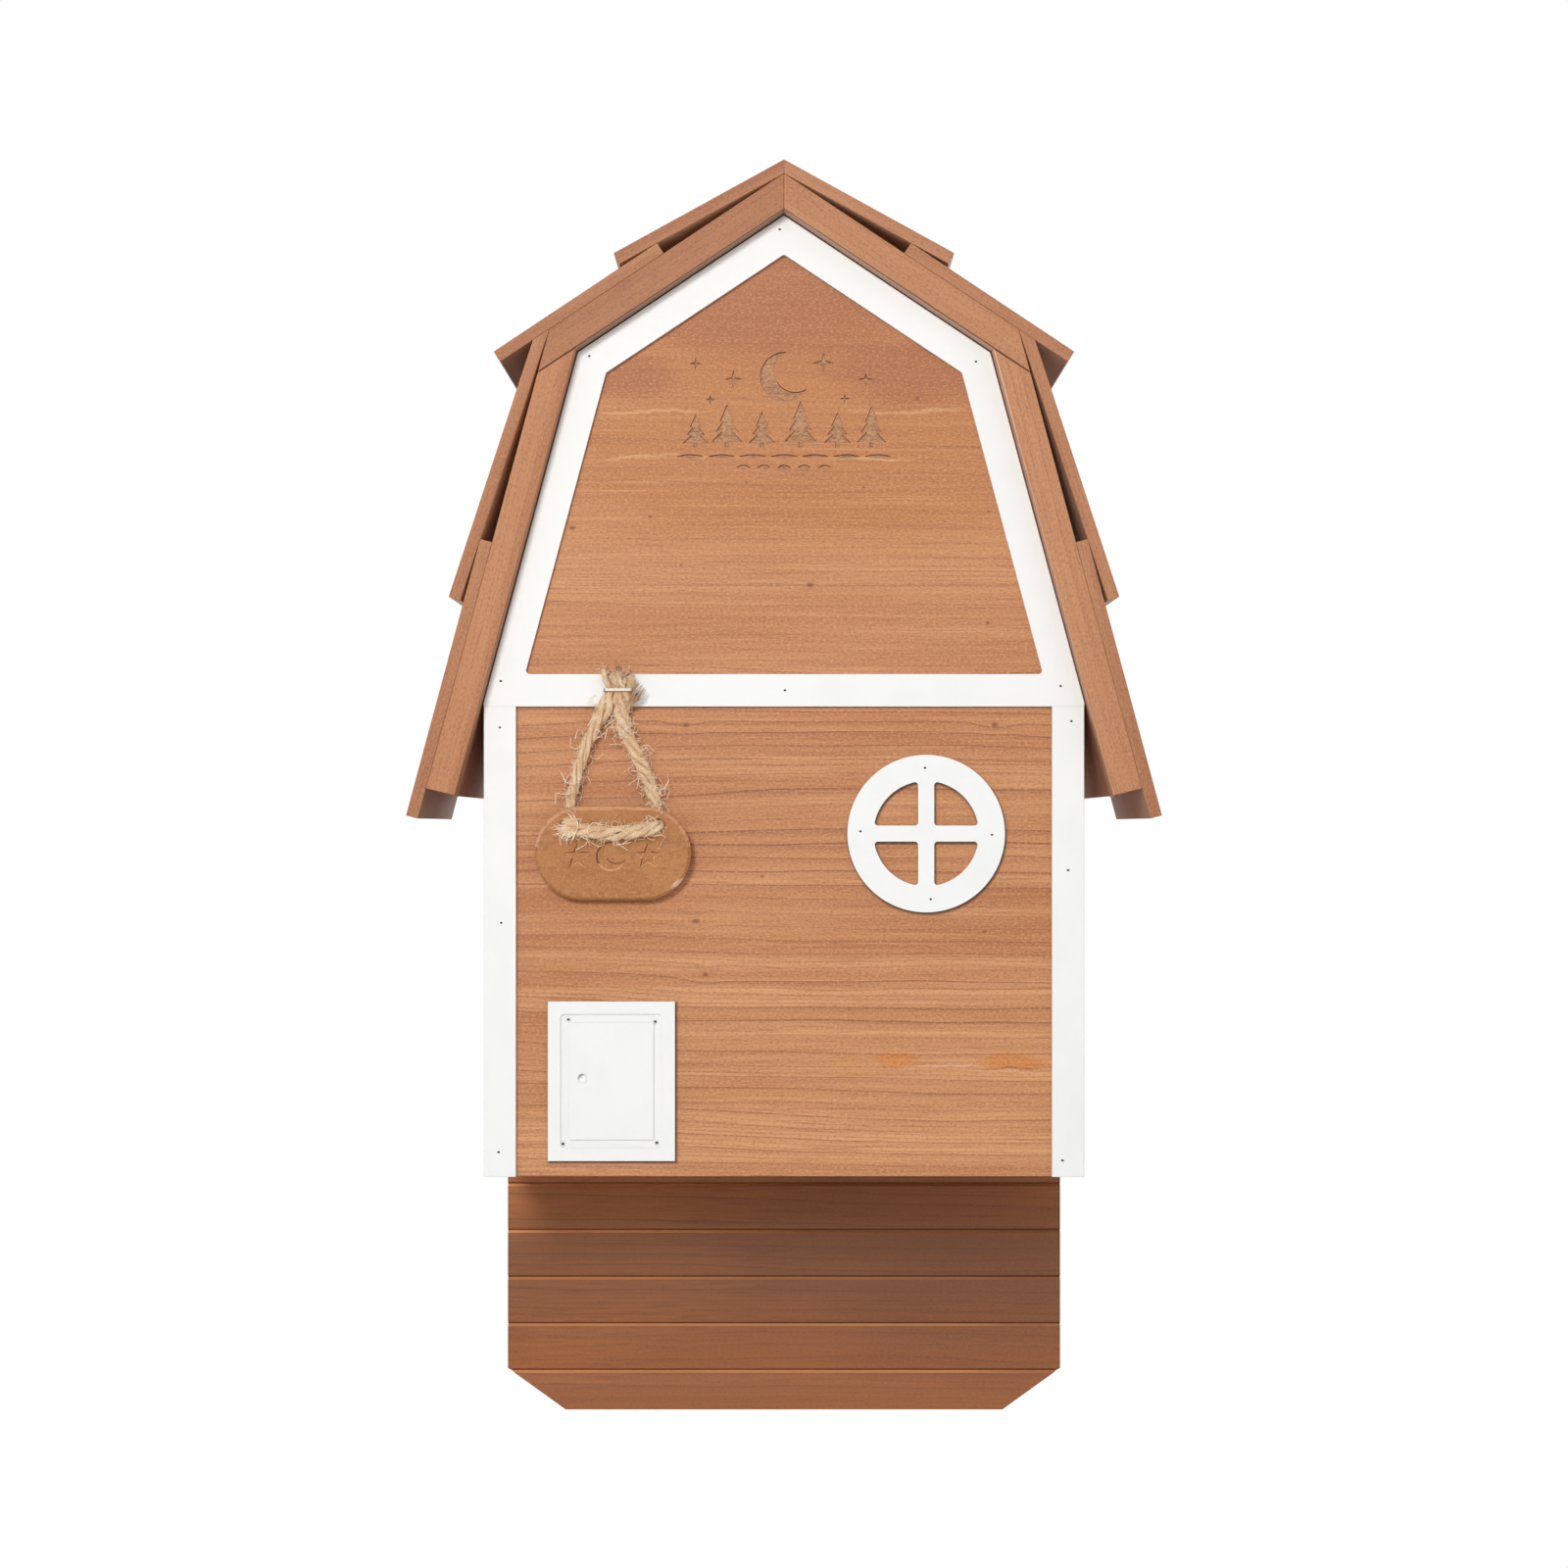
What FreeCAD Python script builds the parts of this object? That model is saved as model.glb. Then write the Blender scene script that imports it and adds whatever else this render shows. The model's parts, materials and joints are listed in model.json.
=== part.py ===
import FreeCAD, Part
import math
import os

# A barn-shaped bat box that hangs on a wall, open underneath. Millimetres and degrees.
# X runs across the front, Y from the front to the wall, Z up. The origin lies on the wall
# plane, midway across, level with the bottom edge of the front and side walls.

V = FreeCAD.Vector

# Walls
body_half_width = 162.8
front_thickness = 9.0
back_thickness = 9.0
side_thickness = 12.0

# Chambers and the partitions between them
chamber_count = 4
chamber_depth = 22.5
partition_thickness = 9.0
partition_bottom = 20.0
partition_roof_gap = 12.0
partition_top_gap = 92.0
dado_depth = 3.0
dado_clearance = 0.2

# Roof: the underside of the decks makes the gable outline
knee_set_in = 50.4
knee_height = 447.6
upper_pitch = 33.6
lower_lean = 15.05
deck_thickness = 16.0
lower_deck_length = 249.8
front_overhang = 15.0

# Lapped roof boards
board_thickness = 6.5
ridge_board_length = 101.1
upper_board_overhang = 31.6
upper_board_length = 105.5
lower_board_start = 112.6
lower_board_length = 154.0
top_board_length = 153.7

# Landing board below the walls, and the grip grooves
landing_drop = 153.6
landing_corner_width = 34.0
landing_corner_height = 24.5
groove_pitch = 27.5
groove_width = 2.6
groove_depth = 1.6
lowest_groove = 23.0
grooves_end_below_knee = 10.0

# Painted trim
trim_thickness = 3.0
trim_width = 17.5
trim_gap = 0.8
rail_below_shoulder = 1.9
trim_corner_radius = 2.0

# Round window
window_set_in = 85.7
window_z = 186.2
window_radius = 42.7
window_rim = 14.1
window_bar = 8.7
window_corner_radius = 1.8

# Door plate
door_set_in = 69.2
door_z = 51.9
door_width = 68.9
door_height = 86.5
door_frame = 6.8
door_groove = 4.8
door_groove_depth = 1.0
door_groove_radius = 2.5
knob_inset = 7.3
knob_rise = 1.5
knob_radius = 2.7
knob_depth = 1.2

# Brads: flat-wire nails that hold trim, window, door plate, partitions and roof boards
brad_width = 1.3
brad_thickness = 1.0
brad_sink = 0.3
brad_fit = 0.05
trim_brad_length = 9.0
partition_brad_length = 20.0
partition_brad_heights = (60.0, 200.0)
roof_brad_length = 20.0
lap_brad_length = 25.0
roof_brads_per_row = 3
brad_row_from_edge = 12.0
lap_row_past_edge = 10.0

back_brad_length = 30.0
back_brad_heights = (50.0, 200.0)

# Keyhole hanger plates let into the back, each on two riveted spikes
hanger_spacing = 140.0
hanger_height = 380.0
hanger_thickness = 1.5
hanger_half_width = 8.0
hanger_fit = 0.2
keyhole_radius = 5.0
keyhole_slot_radius = 2.4
keyhole_slot_rise = 12.0
hanger_upper_spike = 24.0
hanger_lower_spike = 11.5
spike_width = 2.4
spike_thickness = 1.2
spike_length = 7.0
spike_fit = 0.05
keyhole_pocket_radius = 5.6
keyhole_pocket_depth = 5.0

# Hanging sign, its rope and its staple
swing_x = -89.5
staple_rise = 8.7
sign_shift = -2.9
sign_drop = 88.0
sign_width = 84.2
sign_height = 50.8
sign_thickness = 5.0
sign_chamfer = 1.6
sign_lean = 8.0
sign_hole_spacing = 49.8
sign_hole_rise = 15.6
sign_hole_radius = 3.6
rope_diameter = 6.0
rope_sides = 10
rope_clearance = 0.3
rope_front_gap = 1.4
rope_tuck = 0.9
rope_slack_in_hole = 0.5
staple_half_width = 8.1
staple_wire_width = 1.3
staple_wire_thickness = 1.1
staple_bend_radius = 1.6
staple_bite = 7.0
staple_fit = 0.05
swing_clearance = 1.0

# Depths worked out from the sizes above
chamber_pitch = chamber_depth + partition_thickness
inner_depth = chamber_count * chamber_pitch - partition_thickness
back_face = -back_thickness
front_rear = back_face - inner_depth
front_face = front_rear - front_thickness
trim_face = front_face - trim_thickness
roof_front = front_face - front_overhang
partition_centres = [back_face - n * chamber_pitch + partition_thickness / 2
                     for n in range(1, chamber_count)]
side_inner = body_half_width - side_thickness
knee_half_width = body_half_width - knee_set_in
window_x = body_half_width - window_set_in
door_x = door_set_in - body_half_width
sign_x = swing_x + sign_shift
swing_split_radius = staple_half_width + swing_clearance


def step(point, direction, distance):
    return (point[0] + direction[0] * distance, point[1] + direction[1] * distance)


def meet(p, d, q, e):
    cross = d[0] * e[1] - d[1] * e[0]
    along = ((q[0] - p[0]) * e[1] - (q[1] - p[1]) * e[0]) / cross
    return step(p, d, along)


def towards(p, q):
    length = math.hypot(q[0] - p[0], q[1] - p[1])
    return ((q[0] - p[0]) / length, (q[1] - p[1]) / length)


def outward(run):
    return (-run[1], run[0])


# Directions down the two slopes of the right-hand side, and square to them
upper_run = (math.cos(math.radians(upper_pitch)), -math.sin(math.radians(upper_pitch)))
lower_run = (math.sin(math.radians(lower_lean)), -math.cos(math.radians(lower_lean)))
upper_out = outward(upper_run)
lower_out = outward(lower_run)
level = (1.0, 0.0)
upright = (0.0, 1.0)

# Corners of the decks in the gable plane, as (x, z)
knee = (knee_half_width, knee_height)
apex = meet(knee, upper_run, (0.0, 0.0), upright)
lower_top = step(knee, lower_out, deck_thickness)
deck_apex = meet(step(apex, upper_out, deck_thickness), upper_run, (0.0, 0.0), upright)
deck_knee = meet(deck_apex, upper_run, lower_top, lower_run)
seam_end = meet(apex, upper_run, lower_top, lower_run)
eave_inner = step(knee, lower_run, lower_deck_length)
eave_outer = step(eave_inner, lower_out, deck_thickness)


def prism(points, y_front, y_back):
    corners = [V(x, y_front, z) for x, z in points]
    face = Part.Face(Part.makePolygon(corners + corners[:1]))
    return face.extrude(V(0, y_back - y_front, 0))


def block(x0, x1, y0, y1, z0, z1):
    return Part.makeBox(x1 - x0, y1 - y0, z1 - z0, V(x0, y0, z0))


def rod(x, z, radius, y_front, y_back):
    return Part.makeCylinder(radius, y_back - y_front, V(x, y_front, z), V(0, 1, 0))


def mirrored(shape):
    return shape.mirror(V(0, 0, 0), V(1, 0, 0))


def both_sides(points):
    return points + [(-x, z) for x, z in reversed(points) if abs(x) > 1e-9]


def round_corners(shape, radius):
    upright_edges = [e for e in shape.Edges
                     if len(e.Vertexes) == 2
                     and abs((e.Vertexes[1].Point - e.Vertexes[0].Point).y) > e.Length * 0.999]
    return shape.makeFillet(radius, upright_edges)


# Roof outline set in by a distance: (apex, knee, a point on the lower line)
def roof_lines(inset):
    top = step(apex, upper_out, -inset)
    low = step(knee, lower_out, -inset)
    return (meet(top, upper_run, (0.0, 0.0), upright), meet(top, upper_run, low, lower_run), low)


def shoulder(inset, half_width):
    low = roof_lines(inset)[2]
    return meet(low, lower_run, (half_width, 0.0), upright)


def roof_width_at(inset, height):
    low = roof_lines(inset)[2]
    return meet(low, lower_run, (0.0, height), level)


# Heights that hang on the roof: the rail, the staple in it, and the sign
post_height = shoulder(trim_gap, body_half_width)[1] - rail_below_shoulder
swing_z = post_height + staple_rise
sign_z = swing_z - sign_drop


# Brad driven straight in from a front face; with a fit it is the hole for one
def front_brad(x, z, y_face, fit=0.0):
    half_width, half_thickness = brad_width / 2 + fit, brad_thickness / 2 + fit
    y_head = y_face if fit else y_face + brad_sink
    return block(x - half_width, x + half_width, y_head, y_face + trim_brad_length,
                 z - half_thickness, z + half_thickness)


# Brad driven in the plane of the gable from a point (x, z) on a board's face
def plane_brad(point, inward, y, length, fit=0.0):
    across = outward(inward)
    head = step(point, inward, -1.0 if fit else brad_sink)
    tip = step(point, inward, length)
    half = brad_width / 2 + fit
    corners = [step(head, across, half), step(tip, across, half),
               step(tip, across, -half), step(head, across, -half)]
    half = brad_thickness / 2 + fit
    return prism(corners, y - half, y + half)


# Grip grooves: V cuts straight across a board's front face
def cut_grooves(board, y_face, z_low, z_high):
    half = groove_width / 2
    heights = []
    z = lowest_groove - landing_drop
    while z < z_high:
        if z > z_low:
            heights.append(z)
        z += groove_pitch
    cutters = []
    for z in heights:
        corners = [V(-body_half_width - 1, y_face, z - half),
                   V(-body_half_width - 1, y_face, z + half),
                   V(-body_half_width - 1, y_face + groove_depth, z)]
        face = Part.Face(Part.makePolygon(corners + corners[:1]))
        cutters.append(face.extrude(V(2 * body_half_width + 2, 0, 0)))
    return board.cut(cutters)


# Places of the brads in the painted pieces, each near the middle of the trim and a
# little off it, as they were driven by hand
def trim_brad_places():
    mid = trim_gap + trim_width / 2
    mid_apex, mid_knee, low = roof_lines(mid)
    post_x = body_half_width - trim_width / 2
    rail_z = post_height + trim_width / 2
    ring = [(-post_x + 0.5, rail_z + 5.0), (post_x - 4.0, rail_z + 2.3), (0.5, rail_z),
            (-mid_knee[0] - 1.5, mid_knee[1] + 3.5), (mid_knee[0], mid_knee[1] + 0.5),
            (-2.3, mid_apex[1] + 3.0)]
    left = [(-post_x, post_height - 11.4), (-post_x + 0.7, post_height * 0.54),
            (-post_x - 0.7, 13.5)]
    right = [(post_x + 1.8, post_height - 8.0), (post_x, post_height * 0.652),
             (post_x - 3.0, 9.0)]
    return ring + left + right


def window_brad_places():
    radius = window_radius - window_rim / 2
    return [(window_x + radius * math.cos(math.radians(a)),
             window_z + radius * math.sin(math.radians(a))) for a in (91, 178, -1, -86)]


def door_brad_places():
    x = door_width / 2 - door_frame - door_groove / 2
    z = door_height / 2 - door_frame - door_groove / 2
    return [(door_x - x + 1.9, door_z + z - 0.6), (door_x + x - 1.5, door_z + z - 1.7),
            (door_x - x - 1.0, door_z - z + 0.1), (door_x + x - 0.7, door_z - z + 0.7)]


def trim_brads(fit=0.0):
    places = trim_brad_places() + window_brad_places() + door_brad_places()
    return [front_brad(x, z, trim_face, fit) for x, z in places]


def partition_brads(fit=0.0):
    return [plane_brad((side * body_half_width, z), (-side, 0.0), y, partition_brad_length, fit)
            for y in partition_centres for z in partition_brad_heights for side in (-1, 1)]


# Rows of brads in the right-hand roof boards, as (point on the face, inward, length):
# ridge board at its head and over the lap, upper eave board at the knee, top board of the
# steep slope at its head and over the lap, lower eave board near the eave
def roof_brad_rows():
    rows = []
    for outline, lap, lap_top in ((ridge_outline(), upper_eave_outline(), 3),
                                  (top_board_outline(), lower_eave_outline(), 3)):
        run = towards(outline[0], outline[1])
        out = outward(run)
        head = step(step(outline[0], run, brad_row_from_edge), out, board_thickness)
        reach = math.hypot(lap[lap_top][0] - outline[0][0], lap[lap_top][1] - outline[0][1])
        over = step(step(outline[0], run, reach + lap_row_past_edge), out, board_thickness)
        inward = (-out[0], -out[1])
        rows += [(head, inward, roof_brad_length), (over, inward, lap_brad_length)]
    knee_row = step(step(deck_knee, upper_run, -brad_row_from_edge), upper_out, board_thickness)
    rows.append((knee_row, (-upper_out[0], -upper_out[1]), roof_brad_length))
    eave_row = step(step(eave_outer, lower_run, -brad_row_from_edge), lower_out, board_thickness)
    rows.append((eave_row, (-lower_out[0], -lower_out[1]), roof_brad_length))
    return rows


def roof_brads(fit=0.0):
    spacing = roof_front / roof_brads_per_row
    return [plane_brad(point, inward, (n + 0.5) * spacing, length, fit)
            for point, inward, length in roof_brad_rows() for n in range(roof_brads_per_row)]


# Brads through the back board into the side walls
def back_brads(fit=0.0):
    x = body_half_width - side_thickness / 2
    half_width, half_thickness = brad_width / 2 + fit, brad_thickness / 2 + fit
    y_head = 0.0 if fit else -brad_sink
    return [block(side * x - half_thickness, side * x + half_thickness, -back_brad_length,
                  y_head, z - half_width, z + half_width)
            for z in back_brad_heights for side in (-1, 1)]


# Spikes pressed out of a hanger plate, which hold it to the back board; with a fit they are
# the holes for them
def hanger_spikes(side, fit=0.0):
    x = side * hanger_spacing / 2
    half_width, half_thickness = spike_width / 2 + fit, spike_thickness / 2 + fit
    return [block(x - half_width, x + half_width, -spike_length, 0.0,
                  z - half_thickness, z + half_thickness)
            for z in (hanger_height - hanger_lower_spike, hanger_height + hanger_upper_spike)]


def front_panel():
    corner = shoulder(0.0, body_half_width)
    panel = prism(both_sides([(body_half_width, 0.0), corner, knee, apex]),
                  front_face, front_rear)
    return panel.cut(trim_brads(brad_fit) + [staple(staple_fit)])


# Back board: runs down past the walls as the landing board
def back_panel():
    corner = shoulder(0.0, body_half_width)
    outline = both_sides([(body_half_width - landing_corner_width, -landing_drop),
                          (body_half_width, landing_corner_height - landing_drop),
                          corner, knee, apex])
    board = prism(outline, back_face, 0.0)
    board = cut_grooves(board, back_face, -landing_drop, knee_height - grooves_end_below_knee)
    return board.cut(hanger_recesses() + back_brads(brad_fit))


def side_wall():
    outer_top = shoulder(0.0, body_half_width)
    inner_top = shoulder(0.0, side_inner)
    wall = prism([(side_inner, 0.0), (body_half_width, 0.0), outer_top, inner_top],
                 front_rear, back_face)
    half = partition_thickness / 2 + dado_clearance
    dados = [block(side_inner, side_inner + dado_depth, y - half, y + half,
                   partition_bottom, inner_top[1]) for y in partition_centres]
    return wall.cut(dados + partition_brads(brad_fit) + back_brads(brad_fit))


# Roost partition: stands in the side walls' dados and stops short of the roof
def partition(y):
    half_width = side_inner + dado_depth - dado_clearance
    top = apex[1] - partition_top_gap
    outline = both_sides([(half_width, partition_bottom),
                          shoulder(partition_roof_gap, half_width),
                          roof_width_at(partition_roof_gap, top)])
    y_front = y - partition_thickness / 2
    board = prism(outline, y_front, y + partition_thickness / 2)
    board = cut_grooves(board, y_front, partition_bottom, top)
    return board.cut(partition_brads(brad_fit))


# Roof decks: the upper pair meets in a plumb mitre; each lower deck butts under an upper
# one, whose end is planed flush with the lower deck's face
def upper_deck_outline():
    return [apex, seam_end, deck_knee, deck_apex]


def lower_deck_outline():
    return [knee, eave_inner, eave_outer, seam_end]


def roof_piece(outline):
    return prism(outline, roof_front, 0.0).cut(roof_brads(brad_fit))


def flat_board(top, run, out, length):
    foot = step(top, run, length)
    return [top, foot, step(foot, out, board_thickness), step(top, out, board_thickness)]


def upper_eave_outline():
    head = step(deck_knee, upper_run, upper_board_overhang - upper_board_length)
    return flat_board(head, upper_run, upper_out, upper_board_length)


def lower_eave_outline():
    return flat_board(step(lower_top, lower_run, lower_board_start), lower_run, lower_out,
                      lower_board_length)


# Ridge board: lies from the decks' ridge to the upper eave board's top edge, mitred plumb
def ridge_outline():
    run = towards(deck_apex, upper_eave_outline()[3])
    out = outward(run)
    foot = step(deck_apex, run, ridge_board_length)
    foot_outer = step(foot, out, board_thickness)
    return [deck_apex, foot, foot_outer, meet(foot_outer, run, (0.0, 0.0), upright)]


# Top board of the steep slope: leans from the deck's knee corner to the lower eave board's
# top edge, its head cut to fit under the upper eave board
def top_board_outline():
    run = towards(deck_knee, lower_eave_outline()[3])
    foot = step(deck_knee, run, top_board_length)
    foot_outer = step(foot, outward(run), board_thickness)
    head_outer = meet(foot_outer, run, deck_apex, upper_run)
    return [deck_knee, foot, foot_outer, head_outer]


# Gable trim: one ring that follows the roof, with the cross rail as its lowest side
def gable_trim():
    top, bend, low = roof_lines(trim_gap)
    outer = both_sides([(body_half_width, post_height), shoulder(trim_gap, body_half_width),
                        bend, top])
    inset = trim_gap + trim_width
    top, bend, low = roof_lines(inset)
    inner = both_sides([roof_width_at(inset, post_height + trim_width), bend, top])
    opening = round_corners(prism(inner, trim_face, front_face), trim_corner_radius)
    ring = prism(outer, trim_face, front_face).cut(opening)
    return ring.cut(trim_brads(brad_fit) + [staple(staple_fit)])


def post_trim(side):
    x_outer = side * body_half_width
    x_inner = side * (body_half_width - trim_width)
    post = block(min(x_outer, x_inner), max(x_outer, x_inner), trim_face, front_face,
                 0.0, post_height)
    return post.cut(trim_brads(brad_fit))


def window_ring():
    inner = window_radius - window_rim
    disc = rod(window_x, window_z, window_radius, trim_face, front_face)
    panes = rod(window_x, window_z, inner, trim_face, front_face)
    reach = inner + 1.0
    half = window_bar / 2
    bars = [block(window_x - reach, window_x + reach, trim_face, front_face,
                  window_z - half, window_z + half),
            block(window_x - half, window_x + half, trim_face, front_face,
                  window_z - reach, window_z + reach)]
    quarters = [round_corners(q, window_corner_radius) for q in panes.cut(bars).Solids]
    return disc.cut(quarters + trim_brads(brad_fit))


# Door plate: a sham door, one board with a groove cut round its panel and a knob dimple
def door_plate():
    x, z = door_width / 2, door_height / 2
    plate = block(door_x - x, door_x + x, trim_face, front_face, door_z - z, door_z + z)
    groove_floor = trim_face + door_groove_depth
    x, z = x - door_frame, z - door_frame
    moat = round_corners(block(door_x - x, door_x + x, trim_face, groove_floor,
                               door_z - z, door_z + z), door_groove_radius)
    x, z = x - door_groove, z - door_groove
    moat = moat.cut(block(door_x - x, door_x + x, trim_face, groove_floor,
                          door_z - z, door_z + z))
    bowl = (knob_radius ** 2 + knob_depth ** 2) / (2 * knob_depth)
    knob = Part.makeSphere(bowl, V(door_x - x + knob_inset, trim_face + knob_depth - bowl,
                                   door_z + knob_rise))
    return plate.cut([moat, knob] + trim_brads(brad_fit))


def stadium(x, z_low, z_high, radius, y_front, y_back):
    return block(x - radius, x + radius, y_front, y_back, z_low, z_high).fuse(
        [rod(x, z_low, radius, y_front, y_back), rod(x, z_high, radius, y_front, y_back)]
    ).removeSplitter()


def hanger_plate(side):
    x = side * hanger_spacing / 2
    plate = stadium(x, hanger_height - hanger_lower_spike, hanger_height + hanger_upper_spike,
                    hanger_half_width, -hanger_thickness, 0.0)
    slot = stadium(x, hanger_height, hanger_height + keyhole_slot_rise, keyhole_slot_radius,
                   -hanger_thickness, 0.0)
    entry = rod(x, hanger_height, keyhole_radius, -hanger_thickness, 0.0)
    return plate.cut(slot.fuse(entry)).fuse(hanger_spikes(side)).removeSplitter()


# Shallow recess for each hanger plate, and a deeper pocket for the wall screw's head
def hanger_recesses():
    cuts = []
    for side in (-1, 1):
        x = side * hanger_spacing / 2
        cuts.append(stadium(x, hanger_height - hanger_lower_spike,
                            hanger_height + hanger_upper_spike,
                            hanger_half_width + hanger_fit, -hanger_thickness, 0.0))
        cuts.append(stadium(x, hanger_height, hanger_height + keyhole_slot_rise,
                            keyhole_pocket_radius, -hanger_thickness - keyhole_pocket_depth,
                            -hanger_thickness))
        cuts += hanger_spikes(side, spike_fit)
    return cuts


# Depths of the rope and the sign in front of the trim
rope_radius = rope_diameter / 2
rope_y = trim_face - rope_clearance - rope_radius
sign_rear = rope_y - rope_radius - rope_clearance
hole_z = sign_z + sign_hole_rise
lean_sin = math.sin(math.radians(sign_lean))
lean_cos = math.cos(math.radians(sign_lean))


# Sign plate: its foot leans towards the wall, turned about the line of the holes
def sign_plate():
    end_radius = sign_height / 2
    flat = sign_width / 2 - end_radius
    y_front = sign_rear - sign_thickness
    plate = block(sign_x - flat, sign_x + flat, y_front, sign_rear,
                  sign_z - end_radius, sign_z + end_radius).fuse(
        [rod(sign_x + s * flat, sign_z, end_radius, y_front, sign_rear) for s in (-1, 1)]
    ).removeSplitter()
    rim = [e for e in plate.Edges
           if all(abs(v.Point.y - y_front) < 1e-6 for v in e.Vertexes)]
    plate = plate.makeChamfer(sign_chamfer, rim)
    holes = [rod(sign_x + s * sign_hole_spacing / 2, hole_z, sign_hole_radius,
                 y_front - 1.0, sign_rear + 1.0) for s in (-1, 1)]
    plate = plate.cut(holes)
    plate.rotate(V(0, sign_rear, hole_z), V(1, 0, 0), sign_lean)
    return plate


# Route of the rope, as (x, z) from the staple: both cut ends at the staple, down behind
# the sign, out through one hole, across its face and back through the other
def rope_route():
    left, right = (sign_x + s * sign_hole_spacing / 2 for s in (-1, 1))
    rope_z = hole_z - rope_slack_in_hole
    behind = (rope_y, rope_z + (rope_y - sign_rear) * lean_sin / lean_cos)
    reach = sign_thickness + rope_radius + rope_front_gap
    ahead = (sign_rear - reach * lean_cos, rope_z - reach * lean_sin)
    down = [(-3.8, 10.3), (-3.1, -1.6), (-17.0, -25.5), (-25.2, -55.0)]
    across = [(-3.3, -78.4)]
    up = [(18.6, -56.0), (10.4, -30.0), (3.2, -1.6), (3.9, 9.6)]
    points = [V(swing_x + x, rope_y, swing_z + z) for x, z in down]
    points += [V(left, *behind), V(left, *ahead)]
    points += [V(swing_x + x, ahead[0] + rope_tuck, swing_z + z) for x, z in across]
    points += [V(right, *ahead), V(right, *behind)]
    points += [V(swing_x + x, rope_y, swing_z + z) for x, z in up]
    return points


# Straight runs joined by tangent arcs, each as large as its two runs allow
def rounded_path(points, share=0.45):
    edges, radii = [], []
    start = points[0]
    for before, corner, after in zip(points, points[1:], points[2:]):
        a, b = before - corner, after - corner
        cut = share * min(a.Length, b.Length)
        into, out = corner + a.normalize() * cut, corner + b.normalize() * cut
        half_turn = (math.pi - a.getAngle(b)) / 2
        radii.append(cut / math.tan(half_turn))
        middle = a + b
        sagitta = radii[-1] / math.cos(half_turn) - radii[-1]
        edges.append(Part.LineSegment(start, into).toShape())
        edges.append(Part.Arc(into, corner + middle.normalize() * sagitta, out).toShape())
        start = out
    edges.append(Part.LineSegment(start, points[-1]).toShape())
    return Part.Wire(edges), radii


# Rope: one tube with a section of many equal sides
def rope():
    path, radii = rounded_path(rope_route())
    start = path.Edges[0].Vertexes[0].Point
    ahead = path.Edges[0].tangentAt(path.Edges[0].FirstParameter)
    across = ahead.cross(V(0, 1, 0)).normalize()
    turns = [2 * math.pi * n / rope_sides for n in range(rope_sides)]
    ring = [start + across * (rope_radius * math.cos(a)) + V(0, rope_radius * math.sin(a), 0)
            for a in turns]
    section = Part.makePolygon(ring + ring[:1])
    tube = path.makePipeShell([section], True, False)
    print("rope: length %.1f, volume over section times length %.4f, radii %s" % (
        path.Length, tube.Volume / (Part.Face(section).Area * path.Length),
        " ".join("%.1f" % r for r in radii)))
    return tube


# The rope bends at the staple: what swings is parted from the held ends by a round cut
# about the swing axis
def swing_zone(radius):
    y_front, y_back = rope_y - rope_diameter, rope_y + rope_diameter
    above = block(swing_x - 40, swing_x + 40, y_front, y_back, swing_z, swing_z + 40)
    return rod(swing_x, swing_z, radius, y_front, y_back).fuse(above)


# Staple of flat wire, astride both rope ends; with a fit it is the hole for one
def staple(fit=0.0):
    crown_rear = rope_y - rope_radius - rope_clearance
    crown_front = crown_rear - staple_wire_thickness
    half = staple_half_width
    inner = half - staple_wire_thickness
    bend, inner_bend = staple_bend_radius, staple_bend_radius - staple_wire_thickness
    foot = trim_face + staple_bite
    outer = stapled_bar(half + fit, crown_front, foot, bend)
    hollow = stapled_bar(inner - fit, crown_rear, foot, inner_bend)
    tall = staple_wire_width / 2 + fit
    return outer.cut(hollow).extrude(V(0, 0, 2 * tall)).translated(V(0, 0, -tall))


def stapled_bar(half, y_front, y_rear, bend):
    left, right = swing_x - half, swing_x + half
    drop = bend * (1 - math.sqrt(0.5))
    z = swing_z
    wire = Part.Wire([
        Part.LineSegment(V(left, y_rear, z), V(left, y_front + bend, z)).toShape(),
        Part.Arc(V(left, y_front + bend, z), V(left + drop, y_front + drop, z),
                 V(left + bend, y_front, z)).toShape(),
        Part.LineSegment(V(left + bend, y_front, z), V(right - bend, y_front, z)).toShape(),
        Part.Arc(V(right - bend, y_front, z), V(right - drop, y_front + drop, z),
                 V(right, y_front + bend, z)).toShape(),
        Part.LineSegment(V(right, y_front + bend, z), V(right, y_rear, z)).toShape(),
        Part.LineSegment(V(right, y_rear, z), V(left, y_rear, z)).toShape(),
    ])
    return Part.Face(wire)


def group(solids):
    return Part.makeCompound(solids)


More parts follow.
